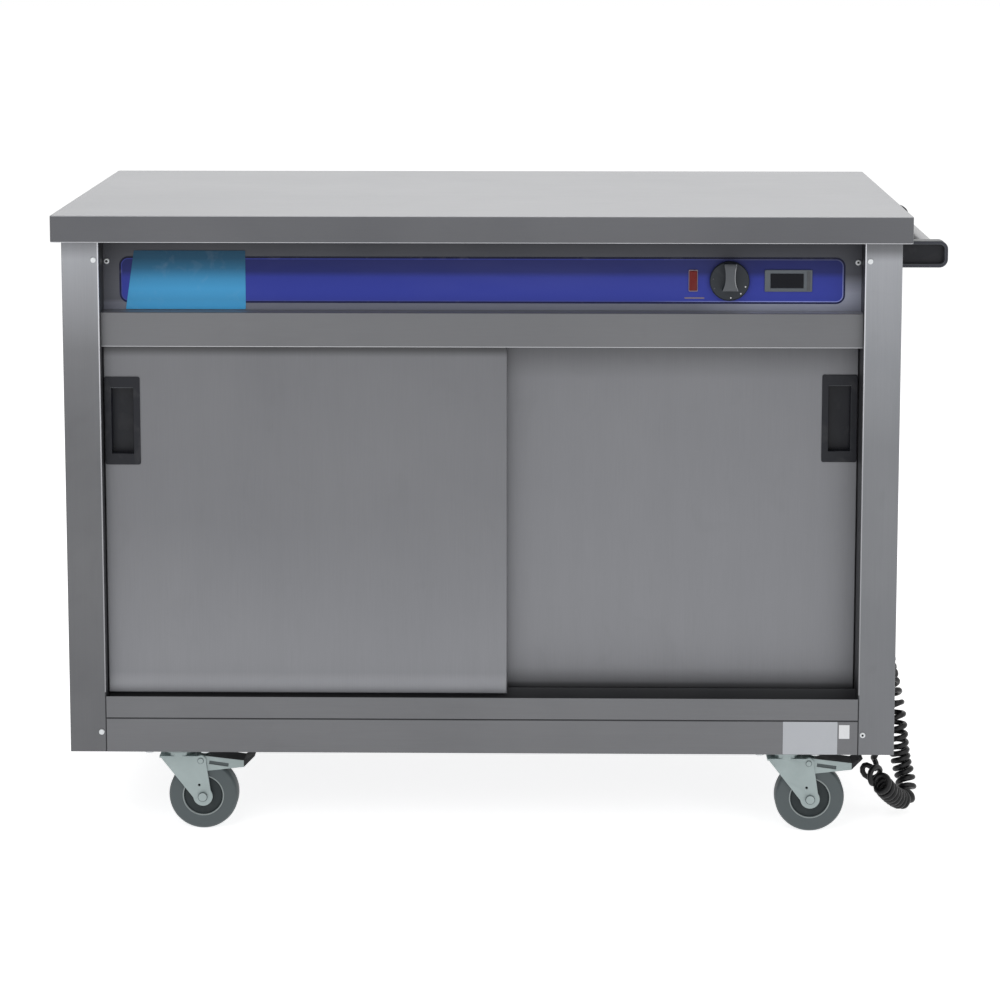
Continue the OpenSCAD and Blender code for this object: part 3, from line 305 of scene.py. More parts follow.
def moulded(name, colour, rough=0.45, texture=0.12, specular=0.3, dust=0.05):
    """Moulded plastic: fine texture, faint dust and worn gloss."""
    finish = Finish(name)
    pits = finish.noise(1400, detail=2.0)
    dirt = finish.noise(38, detail=5.0, distortion=0.6)
    tone = finish.mix(finish.span(pits, 0.3, 0.7, 0.0, 0.12), linear(colour), linear(colour, 0.55))
    tone = finish.mix(finish.span(dirt, 0.52, 0.8, 0.0, dust), tone, (0.45, 0.45, 0.44, 1))
    finish.give(Base_Color=tone, Roughness=finish.span(dirt, 0.3, 0.7, rough - 0.06, rough + 0.08))
    finish.give(Specular_IOR_Level=specular)
    finish.bump(pits, texture, 0.0002)
    return finish.material


def plated(name, colour):
    """Bright zinc plate with a faint bloom."""
    finish = Finish(name)
    bloom = finish.noise(30, detail=4.0, distortion=0.8)
    fine = finish.noise(700, detail=2.0)
    tone = finish.mix(finish.span(bloom, 0.35, 0.7, 0.0, 0.35), linear(colour), linear(colour, 0.72))
    finish.give(Base_Color=tone, Metallic=0.4, Roughness=finish.span(bloom, 0.3, 0.7, 0.34, 0.5))
    finish.bump(fine, 0.05, 0.0002)
    return finish.material


def printed_film(name, colour):
    """Smooth printed film, darker towards its top with the worktop's painted shadow."""
    finish = Finish(name)
    # The worktop's painted shadow: a step to darker above the middle
    deep = finish.toned(tones(colour, (0.0, 1.3), (0.55, 1.0), (0.68, 0.45), (1.0, 0.36)), "Z", FILM_Z)
    print_grain = finish.noise(800, detail=2.0)
    wipes = finish.noise(9, (0.3, 1, 1), 4.0, 0.8)
    tone = finish.mix(finish.span(wipes, 0.4, 0.8, 0.0, 0.05), deep, (0.35, 0.37, 0.6, 1))
    finish.give(Base_Color=tone, Roughness=finish.span(wipes, 0.3, 0.7, 0.36, 0.46), Specular_IOR_Level=0.2)
    finish.bump(print_grain, 0.04, 0.0001)
    return finish.material


def rubber(name, colour, rough=0.6, specular=0.5):
    """Dull rubber with dust and a fine skin."""
    finish = Finish(name)
    skin = finish.noise(900, detail=3.0)
    dust = finish.noise(26, detail=5.0, distortion=0.5)
    tone = finish.mix(finish.span(dust, 0.35, 0.75, 0.0, 0.22), linear(colour), linear(colour, 1.5))
    finish.give(Base_Color=tone, Roughness=finish.span(dust, 0.3, 0.7, rough - 0.08, rough + 0.1))
    finish.give(Specular_IOR_Level=specular)
    finish.bump(skin, 0.15, 0.0002)
    return finish.material


def wool_slab(name, colour):
    """Loose mineral wool."""
    finish = Finish(name)
    fibre = finish.noise(220, (1, 1, 5), 6.0, 2.0)
    tufts = finish.noise(30, detail=4.0)
    tone = finish.mix(finish.span(fibre, 0.3, 0.7, 0.0, 0.6), linear(colour), linear(colour, 0.6))
    tone = finish.mix(finish.span(tufts, 0.4, 0.7, 0.0, 0.3), tone, linear(colour, 1.25))
    finish.give(Base_Color=tone, Roughness=0.95)
    finish.bump(fibre, 0.6, 0.002)
    return finish.material


def blank_print(name, tone, span=(0.0, 1.0), specular=0.5, plain=None):
    """Blank label, line or plate of one tone or of painted light and shade ramps from foot to top, and of a plain
    colour on the left.
    """
    finish = Finish(name)
    tone = finish.toned(tone, "Z", span)
    if plain:
        tone = finish.mix(finish.span(finish.along("X"), *LINE_X, 0.85, 0.0), tone, plain)
    rubbed = finish.noise(60, detail=5.0, distortion=0.7)
    tone = finish.mix(finish.span(rubbed, 0.55, 0.8, 0.0, 0.05), tone, (0.7, 0.71, 0.72, 1))
    finish.give(Base_Color=tone, Roughness=finish.span(rubbed, 0.3, 0.7, 0.35, 0.48), Specular_IOR_Level=specular)
    finish.bump(finish.noise(500, detail=2.0), 0.04, 0.0001)
    return finish.material


def post_steel(name, colour, top, foot, lift, shade):
    """Steel of a post in painted light and shade: darker at the foot, brighter upwards, then the worktop's painted
    shadow.
    """
    tone = tones(colour, (0.0, foot), (0.6, 1.0), (0.78, lift)) + tones(top, (0.955, 1.0), (0.975, shade))
    return steel(name, tone, "Z", span=POST_Z, marks=0.09)


# Moulded finishes, named as their colours: roughness, then texture, specular and dust where they differ
MOULDED = {
    "knob": (0.42,), "grip": (0.4,), "pale": (0.4,), "white": (0.4,), "lens": (0.3, 0.03, 0.2, 0.03),
    "lamp_rim": (0.4,), "display": (0.45,), "window": (0.2, 0.02, 0.12, 0.02), "pull": (0.42,),
    "plastic": (0.46,), "black": (0.5,), "hub": (0.5,), "ring": (0.4,), "nylon": (0.5,),
}


def make_finish(kind):
    """The finish of that kind, made from the scene's colours."""
    c = bpy.context.scene.cupboard_colours
    name = "cupboard_" + kind
    if kind in MOULDED:
        return moulded(name, getattr(c, kind), *MOULDED[kind])
    makers = {
        # Worktop and its edge: a lit and a shaded copy of one steel, painted light and shade
        "worktop": lambda: steel(name, linear(c.worktop), rough=0.34, marks=0.06),
        "worktop_edge": lambda: steel(name, linear(c.worktop_edge)),
        "body": lambda: steel(name, linear(c.body)),
        # Painted light on the header's ledge, brighter towards the right
        "ledge": lambda: steel(name, tones(c.worktop_edge, (0.78, 1.9), (0.86, 3.6)), "X", "X", LEDGE_X, rough=0.5),
        # Painted shade in the header's crease
        "crease": lambda: steel(name, linear(c.worktop_edge, 0.8), rough=0.6),
        # Posts: painted light and shade, a shaded copy on the left and a lit copy on the right
        "left_post": lambda: post_steel(name, c.left_post, c.post_top, 0.95, 1.25, 0.75),
        "right_post": lambda: post_steel(name, c.right_post, c.post_top, 0.84, 1.4, 0.45),
        # Doors: painted light at the front door's foot, painted shade under the header and at the rear door's foot
        "front_door": lambda: steel(
            name, tones(c.door, (0.0, 2.15), (0.06, 1.25), (0.5, 0.95), (0.97, 0.86), (0.99, 0.3)), "Z", span=DOOR_Z
        ),
        "rear_door": lambda: steel(
            name, tones(c.door, (0.0, 0.3), (0.02, 0.9), (0.06, 1.23), (0.9, 1.0), (1.0, 0.6)), "Z", span=DOOR_Z
        ),
        # Fascia: the worktop's painted shadow at its top, painted light at its foot and a painted pool of light at its
        # lower right
        "fascia": lambda: steel(
            name, tones(c.fascia, (0.0, 2.9), (0.09, 2.5), (0.14, 1.2), (1.0, 0.34)), span=FASCIA_Z, rough=0.5,
            metallic=0.3, lit=linear(c.fascia, 4.2),
        ),
        # Painted highlight on the worktop's hem and the header's foot, and the plug's own bright pins
        "hem": lambda: steel(name, linear(c.fold), rough=0.34),
        # Painted highlight on the sheets' folds, brighter upwards
        "fold": lambda: steel(name, tones(c.fold, (0.0, 0.6), (0.5, 0.85), (0.9, 1.5)), "Z", span=FOLD_Z, rough=0.34),
        # Painted shade in seams, channels, gaps and recesses
        "shade": lambda: steel(name, linear(c.shade), rough=0.6, metallic=0.2),
        "inner": lambda: steel(name, linear(c.inner), rough=0.32),
        # Painted shade on the cavity's side walls near the front
        "wall": lambda: steel(
            name, tones(c.shade, (0.0, 1.0), (0.6, 1.0)) + tones(c.inner, (1.0, 1.0)), "X", "Y", WALL_Y
        ),
        # The worktop's painted shadow on the film, its line and its printed border, darker upwards
        "film": lambda: printed_film(name, c.film),
        "film_line": lambda: blank_print(
            name, tones(c.film_line, (0.0, 1.0), (1.0, 0.2)), LINE_Z, 0.2, linear(c.film, 0.9)
        ),
        "film_border": lambda: blank_print(name, tones(c.film, (0.0, 0.18), (1.0, 0.08)), LINE_Z, 0.2),
        "lamp_mark": lambda: blank_print(name, linear(c.lamp_rim, 0.8)),
        "bar": lambda: steel(name, linear(c.bar), "Y", rough=0.3),
        "zinc": lambda: plated(name, c.zinc),
        "screw": lambda: plated(name, c.screw),
        "tyre": lambda: rubber(name, c.tyre),
        "cord": lambda: rubber(name, c.cord, 0.34, 0.3),
        # The worktop's painted shadow on the label, darker upwards, with painted light at its foot
        "label": lambda: blank_print(
            name,
            tones(c.label, (0.0, 2.4), (0.12, 1.8), (0.3, 1.75), (0.47, 1.36), (0.65, 0.65), (0.82, 0.36), (1.0, 0.3)),
            LABEL_Z, 0.2,
        ),
        "plate": lambda: blank_print(name, linear(c.plate)),
        "wool": lambda: wool_slab(name, c.wool),
        "element": lambda: steel(name, linear(c.element), rough=0.5, marks=0.3),
    }
    return makers[kind]()


def finish_of(kind):
    """The finish of that kind, made once."""
    return bpy.data.materials.get("cupboard_" + kind) or make_finish(kind)


# Shapes


def on_plane(edge, axis, value):
    """Whether an edge lies in a plane."""
    return all(abs(v.co[axis] - value) < IN_PLANE for v in edge.verts)


def hard(edge, degrees=40):
    """Whether an edge turns by more than an angle."""
    return len(edge.link_faces) == 2 and edge.calc_face_angle() > math.radians(degrees)


def runs(edge, axis, length):
    """Whether an edge runs further than a length along an axis."""
    return abs(edge.verts[0].co[axis] - edge.verts[1].co[axis]) > length


def edges_on(bm, *planes):
    """Edges that lie in every one of the planes, given as axis and value."""
    return [e for e in bm.edges if all(on_plane(e, axis, value) for axis, value in planes)]


def hard_edges(bm, axis, values, degrees=40):
    """Hard edges that lie in one of the planes across an axis."""
    return [e for e in bm.edges if any(on_plane(e, axis, value) for value in values) and hard(e, degrees)]


def outer_edges(bm, axis, value, low, high):
    """Edges in a plane that lie on the border of a box."""
    others = [i for i in range(3) if i != axis]
    return [
        e for e in bm.edges
        if on_plane(e, axis, value) and any(on_plane(e, i, low[i]) or on_plane(e, i, high[i]) for i in others)
    ]


def rounded_edges(bm, edges, width, segments=3):
    """Rounds edges and gives back the new faces."""
    made = bmesh.ops.bevel(
        bm, geom=list(edges), offset=width, offset_type="OFFSET", affect="EDGES", segments=segments, profile=0.5,
        material=-1, clamp_overlap=False,
    )
    return made["faces"]


def finish_faces(faces, slot):
    """Gives faces the finish in a slot."""
    for face in faces:
        if face.is_valid:
            face.material_index = slot


def cut(bm, place, normal):
    """Parts the faces that a plane crosses."""
    bmesh.ops.bisect_plane(bm, geom=bm.verts[:] + bm.edges[:] + bm.faces[:], plane_co=place, plane_no=normal)


def block(low, high):
    """Bmesh box between two corners."""
    bm = bmesh.new()
    bmesh.ops.create_cube(bm, size=1.0)
    low, high = Vector(low), Vector(high)
    bmesh.ops.scale(bm, vec=high - low, verts=bm.verts)
    bmesh.ops.translate(bm, vec=(low + high) / 2, verts=bm.verts)
    return bm


def rounded_plate(width, height, depth, corner, edge=0.0, steps=6):
    """Bmesh plate in mm about the origin with round corners, its back at 0 and its face at depth."""
    width, height, depth, corner, edge = (size * MM for size in (width, height, depth, corner, edge))
    bm = block((-width / 2, -height / 2, 0), (width / 2, height / 2, depth))
    rounded_edges(bm, [e for e in bm.edges if runs(e, 2, depth / 2)], corner, steps)
    if edge:
        rounded_edges(bm, [e for e in bm.edges if min(v.co.z for v in e.verts) > depth * 0.99], edge)
    return bm


def turned(outline, steps=64):
    """Bmesh turned about its own up axis from pairs of radius and height, in mm."""
    bm = bmesh.new()
    verts = [bm.verts.new((r * MM, 0, h * MM)) for r, h in outline]
    edges = [bm.edges.new(pair) for pair in zip(verts, verts[1:])]
    bmesh.ops.spin(
        bm, geom=verts + edges, cent=(0, 0, 0), axis=(0, 0, 1), dvec=(0, 0, 0), angle=2 * math.pi, steps=steps,
        use_merge=True,
    )
    bmesh.ops.remove_doubles(bm, verts=bm.verts, dist=MERGE)
    bmesh.ops.recalc_face_normals(bm, faces=bm.faces)
    return bm


def placed(bm, place, turn=None):
    """Moves a bmesh to a place in mm, turned first."""
    if turn is not None:
        bmesh.ops.transform(bm, matrix=turn, verts=bm.verts)
    bmesh.ops.translate(bm, vec=Vector(place) * MM, verts=bm.verts)
    return bm


def joined(shapes):
    """One bmesh from several."""
    whole = bmesh.new()
    for bm in shapes:
        part = bpy.data.meshes.new("part")
        bm.to_mesh(part)
        bm.free()
        whole.from_mesh(part)
        bpy.data.meshes.remove(part)
    return whole


def node_copy(node, flat=0.4):
    """Merged bmesh copy of a node, without the edges that turn by less than an angle."""
    bm = bmesh.new()
    bm.from_mesh(frame["nodes"][node].data)
    bmesh.ops.remove_doubles(bm, verts=bm.verts, dist=MERGE)
    bmesh.ops.dissolve_limit(bm, angle_limit=math.radians(flat), verts=bm.verts, edges=bm.edges)
    finish_faces(bm.faces, 0)
    return bm


def body_of(node):
    """Body that a node rides on."""
    return frame["nodes"][node]["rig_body"]


def piece(bm, name, finishes, body, nodes=(), sharp=38.0, even=True):
    """Finished piece on a body, in the place of the nodes that it stands for."""
    mesh = bpy.data.meshes.new(name)
    bm.normal_update()
    bm.to_mesh(mesh)
    bm.free()
    mesh.shade_smooth()
    mesh.set_sharp_from_angle(angle=math.radians(sharp))
    made = bpy.data.objects.new(name, mesh)
    bpy.context.scene.collection.objects.link(made)
    for finish in finishes:
        mesh.materials.append(finish_of(finish))
    if even:
        made.modifiers.new("Even shading", "WEIGHTED_NORMAL").keep_sharp = True
    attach(made, body)
    if nodes:
        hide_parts(*nodes)
    return made


def front_piece(bm, place, name, finish, even=True):
    """Small piece that faces the front of the cabinet, at a place in mm."""
    piece(placed(bm, place, FRONT), name, [finish], "cabinet", even=even)


def dressed(node, finishes, edges=None, width=0.0, segments=2, fold=False):
    """Copy of a node with chosen edges rounded; folds take the second finish."""
    bm = node_copy(node)
    if edges is not None:
        faces = rounded_edges(bm, edges(bm), width, segments)
        if fold:
            finish_faces(faces, 1)
    piece(bm, node + ".dressed", finishes, body_of(node), (node,))


def coated(node, finish):
    """Gives a node's own object a finish."""
    made = frame["nodes"][node]
    if not made.material_slots:
        made.data.materials.append(None)
    for slot in made.material_slots:
        slot.material = finish_of(finish)


# Camera and curly lead

# Front view: lens in mm, shift, place in metres, and tilt down and turn in degrees
CAMERA_LENS = 104.6
CAMERA_SHIFT = -0.225
CAMERA_PLACE = (0.059, -4.333, 1.346)
CAMERA_TILT = 7.514
CAMERA_TURN = 0.891


def aim_camera():
    """Camera of the front view."""
    data = bpy.data.cameras.new("front_camera")
    data.sensor_width = 36.0
    data.lens = CAMERA_LENS
    data.shift_y = CAMERA_SHIFT
    data.clip_end = 60.0
    camera = bpy.data.objects.new("front_camera", data)
    camera.location = CAMERA_PLACE
    camera.rotation_euler = (math.radians(90 - CAMERA_TILT), 0, math.radians(CAMERA_TURN))
    bpy.context.scene.collection.objects.link(camera)
    bpy.context.scene.camera = camera


# Route of the cord's middle line in mm, with its curls so far and the swell of the curls
CORD_ROUTE = [
    (542, -222, 108, 0, 0), (542, -222, 99.5, 0, 0), (534.8, -212.6, 78, 0.82, 1), (543.3, -245.6, 72.1, 1.98, 1),
    (553.4, -236, 56.9, 3.25, 1), (566.8, -217, 39.7, 6.24, 1), (580.5, -196, 26.3, 9.15, 1),
    (591.4, -177, 23.3, 10.79, 1), (594.7, -163, 33.4, 11.89, 1), (593.3, -154, 49.7, 13.42, 1),
    (588.4, -149, 68.8, 15.31, 1), (585.4, -146, 89.3, 17.43, 1), (583, -144, 113.1, 19.38, 1),
    (581.2, -139, 134.5, 20.85, 1), (578.8, -131, 153.6, 22.08, 1), (576.5, -116, 169.2, 23.3, 1),
    (574.5, -94, 183, 24.74, 1), (574, -62, 195.9, 26.66, 1), (574.5, -20, 240, 30.72, 1),
    (574.5, 25, 270, 35.23, 1), (575, 70, 304, 39.93, 1), (579, 122, 340, 45.21, 1), (586, 157, 368, 49.02, 1),
    (590, 170, 388, 50.78, 0), (590, 170, 400, 50.78, 0),
]
POINTS_PER_CURL = 18
# Gland's face below the cabinet, cord's end in the plug and face of the plug's holder, in mm
GLAND_PLACE = (542, -222, 128)
PLUG_FOOT = (590, 170, 400)
HOLDER_X = 577


def route_at(u):
    """Middle point, curls so far and swell at a place along the route."""
    rows = CORD_ROUTE
    k = min(int(u), len(rows) - 2)
    f = u - k
    a, b, c, d = (rows[i] for i in (max(k - 1, 0), k, k + 1, min(k + 2, len(rows) - 1)))
    if b[4] == 0 and c[4] == 0:
        values = [p + f * (q - p) for p, q in zip(b, c)]
        return Vector(values[:3]), values[3], values[4]
    values = [
        q + f * (r - p) / 2 + f * f * (2 * p - 5 * q + 4 * r - s) / 2 + f**3 * (3 * q - p - 3 * r + s) / 2
        for p, q, r, s in zip(a[:4], b[:4], c[:4], d[:4])
    ]
    return Vector(values[:3]), values[3], b[4] + f * f * (3 - 2 * f) * (c[4] - b[4])


def cord_point(u, coil, step=0.02):
    """Point of the cord at a place along the route, in metres."""
    last = len(CORD_ROUTE) - 1
    middle, curls, swell = route_at(u)
    run = (route_at(min(u + step, last))[0] - route_at(max(u - step, 0))[0]).normalized()
    across = Vector((0, 1, 0)).cross(run).normalized()
    turn = 2 * math.pi * curls
    return (middle * MM) + swell * coil * (math.cos(turn) * across + math.sin(turn) * run.cross(across))


def make_lead():
    """Curly cord from the gland to the plug."""
    sizes = bpy.context.scene.cupboard_sizes
    places = []
    for k, (row, after) in enumerate(zip(CORD_ROUTE, CORD_ROUTE[1:])):
        count = max(4, round(POINTS_PER_CURL * (after[3] - row[3])))
        places += [k + j / count for j in range(count)]
    points = [cord_point(u, sizes.coil_radius) for u in places + [len(CORD_ROUTE) - 1]]
    curve = bpy.data.curves.new("curly_lead", "CURVE")
    curve.dimensions = "3D"
    curve.bevel_depth = sizes.cord_radius
    curve.bevel_resolution = 3
    curve.use_fill_caps = True
    line = curve.splines.new("POLY")
    line.points.add(len(points) - 1)
    for spot, point in zip(line.points, points):
        spot.co = (*point, 1.0)
    line.use_smooth = True
    cord = bpy.data.objects.new("curly_lead", curve)
    bpy.context.scene.collection.objects.link(cord)
    curve.materials.append(finish_of("cord"))
    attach(cord, "cabinet")
    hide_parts("curly_cord")
    plug = make_plug()
    make_gland()


def make_gland():
    """Dome-nut gland with a tapered sleeve round the cord."""
    shapes = [
        turned([(4.0, -20), (6.2, -20), (7.0, -19.2), (9.6, -8.5), (10.4, -7.4), (10.4, -5.2), (4.0, -5.2)], 48),
        turned([(4.0, -5.4), (11.0, -5.4), (11.0, -0.4), (10.4, 0), (4.0, 0)], 6),
        turned([(4.0, -0.1), (8.0, -0.1), (8.0, 6.2), (4.0, 6.2)], 32),
        turned([(8.0, 1.2), (11.0, 1.2), (11.0, 5.8), (10.4, 6.2), (8.0, 6.2)], 6),
    ]
    piece(placed(joined(shapes), GLAND_PLACE), "lead_gland", ["black"], "cabinet", ("cable_gland",), 30)


def make_plug():
    """Moulded plug with bright pins, and a collar round the cord."""
    bm = node_copy("mains_plug")
    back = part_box("mains_plug")[1].x
    rounded_edges(bm, hard_edges(bm, 0, (back,)), 2.5 * MM)
    finish_faces([f for f in bm.faces if f.calc_center_median().x < (HOLDER_X + 0.1) * MM], 1)
    plug = piece(bm, "lead_plug", ["black", "hem"], "cabinet", ("mains_plug",))
    collar = turned([(4.0, -8), (5.6, -8), (6.2, -7.4), (8.4, -0.6), (8.4, 0.4), (4.0, 0.4)], 40)
    made = piece(placed(collar, PLUG_FOOT), "plug_collar", ["black"], "cabinet", even=False)
    made.parent = plug
    return plug


def make_holder():
    """Holder in which the plug is parked."""
    dressed("plug_holder", ["plastic"], lambda bm: hard_edges(bm, 0, (HOLDER_X * MM,)), 0.5 * MM)


# Cabinet


def make_worktop():
    """Folded pan whose top is painted lit, whose edge is painted shaded, and whose hem under its edge is a painted
    highlight.
    """
    sizes = bpy.context.scene.cupboard_sizes
    bm = node_copy("worktop")
    low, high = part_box("worktop")
    middle, reach = (low + high) / 2, (high - low) / 2
    top = hard_edges(bm, 2, (high.z,))
    foot = [
        e for e in hard_edges(bm, 2, (low.z,))
        if any(max(abs(v.co[i] - middle[i]) for v in e.verts) > reach[i] - sizes.worktop_hem for i in (0, 1))
    ]
    rounded_edges(bm, top, sizes.worktop_fold, 4)
    bright = rounded_edges(bm, foot, 1.1 * MM)
    # Top in painted light, edge in painted shade, and the hem's fold a painted highlight
    for face in bm.faces:
        face.material_index = 0 if face.normal.z > 0.5 else 1
    finish_faces(bright, 2)
    piece(bm, "worktop_pan", ["worktop", "worktop_edge", "hem"], "cabinet", ("worktop",))


def make_post(side):
    """End panel folded round its post, its inner fold a painted highlight above the sill and painted shade below it
    and behind.
    """
    fold = bpy.context.scene.cupboard_sizes.sheet_fold
    node = side + "_end_panel"
    low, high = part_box(node)
    inner, outer = (high.x, low.x) if side == "left" else (low.x, high.x)
    seam_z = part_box("door_sill")[1].z
    bm = node_copy(node)
    cut(bm, (0, 0, seam_z), (0, 0, 1))
    rounded_edges(bm, edges_on(bm, (1, low.y), (0, outer)), fold)
    # Inner fold: painted highlight above the sill's seam, painted shade below it
    for face in rounded_edges(bm, edges_on(bm, (1, low.y), (0, inner)), fold):
        face.material_index = 1 if face.calc_center_median().z > seam_z else 2
    # Return behind the post's face: painted shade
    for face in bm.faces:
        middle = face.calc_center_median()
        if abs(middle.x - inner) < 1.4 * MM and middle.y > low.y + fold + 0.1 * MM:
            face.material_index = 2
    piece(bm, node + ".dressed", [side + "_post", "fold", "shade"], "cabinet", (node,))


def make_plinth():
    """Plinth with painted shade on its upper fold."""
    low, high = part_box("plinth")
    dressed(
        "plinth", ["body", "shade"], lambda bm: edges_on(bm, (1, low.y), (2, high.z)), 2.0 * MM, fold=True
    )


def make_header():
    """Door header with a painted highlight on its foot, and a painted-light ledge behind a painted-shade crease."""
    bm = node_copy("door_header")
    low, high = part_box("door_header")
    finish_faces(rounded_edges(bm, edges_on(bm, (1, low.y), (2, low.z)), 1.2 * MM), 1)
    crease = rounded_edges(bm, edges_on(bm, (1, low.y), (2, high.z)), 0.8 * MM)
    finish_faces([f for f in bm.faces if f.normal.z > 0.9], 2)
    finish_faces(crease, 3)
    piece(bm, "door_header.dressed", ["body", "hem", "ledge", "crease"], "cabinet", ("door_header",))


def make_sill():
    """Door sill with painted shade in the channel behind its face."""
    bm = node_copy("door_sill")
    face_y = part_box("door_sill")[0].y
    finish_faces([f for f in bm.faces if f.calc_center_median().y > face_y + 0.1 * MM], 1)
    piece(bm, "sill_channel", ["body", "shade"], "cabinet", ("door_sill",))


def make_cabinet():
    """Posts, plinth, header and sill, and the finishes of the flat sheets."""
    for side in SIDES:
        make_post(side)
    make_plinth()
    make_header()
    make_sill()
    # The fascia takes painted shade and painted light
    coated("control_fascia", "fascia")
    coated("back_panel", "body")
    coated("base_tray", "body")
    coated("door_track", "inner")


def make_cavity():
    """Finishes of the heated cavity and of the works behind it."""
    # Side walls: painted shade near the front
    for node in ("left_wall", "right_wall"):
        coated("cavity_" + node, "wall")
    for node in ("back_wall", "ceiling", "floor"):
        coated("cavity_" + node, "inner")
    coated("mid_shelf", "inner")
    coated("shelf_rails", "inner")
    coated("insulation", "wool")
    dressed("heating_elements", ["element"])
    coated("terminal_block", "nylon")
    dressed("thermostat", ["black"])
    dressed("thermostat_spindle", ["zinc"])


def make_doors():
    """Folded doors with their liners, hangers, rollers and pulls."""
    sizes = bpy.context.scene.cupboard_sizes
    for side in SIDES:
        node = side + "_door_panel"
        low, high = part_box(node)
        # Front and rear door steels carry painted light and shade
        sheet = "front_door" if side == "left" else "rear_door"
        # The doors' folds take the painted highlight
        dressed(node, [sheet, "fold"], lambda bm: outer_edges(bm, 1, low.y, low, high), sizes.sheet_fold, 3)
        coated(side + "_door_liner", "inner")
        dressed(side + "_door_hangers", ["zinc"])
        for index in (1, 2):
            dressed(f"{side}_door_roller_{index}", ["nylon"])
        make_pull(side)


def make_pull(side):
    """Flush moulded pull with a soft flange, and a painted highlight under the lip of its deep cup."""
    node = side + "_door_pull"
    low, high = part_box(node)
    cup_foot, cup_top = low.z + 20 * MM, high.z - 10 * MM
    bm = node_copy(node)
    for face in rounded_edges(bm, hard_edges(bm, 1, (low.y,)), bpy.context.scene.cupboard_sizes.mould_edge):
        # Painted highlight on the faces under the cup's lip
        if face.normal.z < -0.2 and cup_foot < face.calc_center_median().z < cup_top:
            face.material_index = 1
    piece(bm, node + ".dressed", ["pull", "grip"], body_of(node), (node,))


# Controls

# Height of the bar printed below the lamp, and places of the blank label and plates, in mm
LAMP_MARK_Z = 778.2
LABEL_PLACE = (-445.3, -272.65, 802.6)
RATING_PLACE = (437.6, -315.0, 152.3)
SMALL_PLACE = (485.9, -315.0, 161.6)
# Lean of the label's left edge
LABEL_LEAN = 0.15
# Angles of the knob's dots in degrees, those past 90 grey with painted shade, and their distance from its middle in mm
DOT_ANGLES = (-86, -48, -19, 172, 205)
DOT_RADIUS = 23.4


def make_film():
    """Printed film with a dark border and a pale line inside it."""
    sizes = bpy.context.scene.cupboard_sizes
    coated("fascia_overlay", "film")
    low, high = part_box("fascia_overlay")
    middle, size = (low + high) / 2 / MM, (high - low) / MM
    inset, corner = sizes.film_inset / MM, sizes.film_corner / MM
    for name, edge, band, depth in (
        ("film_border", 0.1, inset, 0.08),
        ("film_line", inset, sizes.film_line / MM, 0.12),
    ):
        bm = rounded_plate(size.x - 2 * edge, size.z - 2 * edge, depth, corner - edge, steps=10)
        top = [f for f in bm.faces if f.normal.z > 0.9]
        bmesh.ops.inset_region(bm, faces=top, thickness=band * MM, use_even_offset=True)
        bmesh.ops.delete(bm, geom=top + [f for f in bm.faces if f.normal.z < -0.9], context="FACES")
        front_piece(bm, (middle.x, low.y / MM, middle.z), name, name, even=False)


def make_lamp():
    """Neon lamp with a domed lens in its rim, and a plain bar printed below it."""
    low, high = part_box("indicator_lamp")
    dressed("indicator_lamp", ["lamp_rim"], lambda bm: hard_edges(bm, 1, (low.y,)), 0.6 * MM)
    middle = (low + high) / 2 / MM
    lens = rounded_plate(11, 28, 1.6, 1.2, 1.1)
    front_piece(lens, (middle.x, low.y / MM, middle.z), "lamp_lens", "lens")
    film_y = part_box("fascia_overlay")[0].y / MM
    bar = rounded_plate(28, 1.9, 0.12, 0.5)
    front_piece(bar, (middle.x + 2, film_y, LAMP_MARK_Z), "lamp_mark", "lamp_mark", even=False)


def make_display():
    """Temperature display with a dark window and a strip of keys."""
    low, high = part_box("temperature_display")
    dressed("temperature_display", ["display"], lambda bm: hard_edges(bm, 1, (low.y,)), 0.7 * MM)
    middle = (low + high) / 2 / MM
    face_y = low.y / MM
    glass = rounded_plate(46.4, 20.4, 0.5, 0.6, 0.2)
    front_piece(glass, (middle.x - 2, face_y + 1.0, middle.z), "display_window", "window")
    keys = rounded_plate(5.0, 27, 0.3, 0.5, 0.2)
    front_piece(keys, (middle.x + 28.2, face_y, middle.z), "display_keys", "grip")


def knob_grip():
    """Waisted grip of the knob: painted light on its face and a painted highlight along one edge."""
    half, foot, top = 6.9 * MM, -12.0 * MM, 26.0 * MM
    back, crown, shoulder = 7.4 * MM, 26.0 * MM, 20.0 * MM
    grip = block((-half, foot, back), (half, top, crown))
    bmesh.ops.subdivide_edges(
        grip, edges=[e for e in grip.edges if runs(e, 1, 1 * MM)], cuts=11, use_grid_fill=True
    )
    for v in grip.verts:
        share = (2 * v.co.y - top - foot) / (top - foot)
        v.co.x *= 1 + (0.3 if share > 0 else 0.62) * share * share
        if v.co.z > shoulder:
            v.co.z -= 3.0 * MM * share**4
    edge_highlight = rounded_edges(grip, [
        e for e in grip.edges
        if hard(e, 50) and all(v.co.x > 4 * MM and v.co.z > shoulder for v in e.verts) and runs(e, 1, 1 * MM)
    ], 1.1 * MM, 2)
    # Grip face: painted light; edge: painted highlight
    for face in grip.faces:
        face.material_index = 1 if face.normal.z > 0.8 and face.calc_center_median().z > shoulder else 0
    finish_faces(edge_highlight, 2)
    return grip


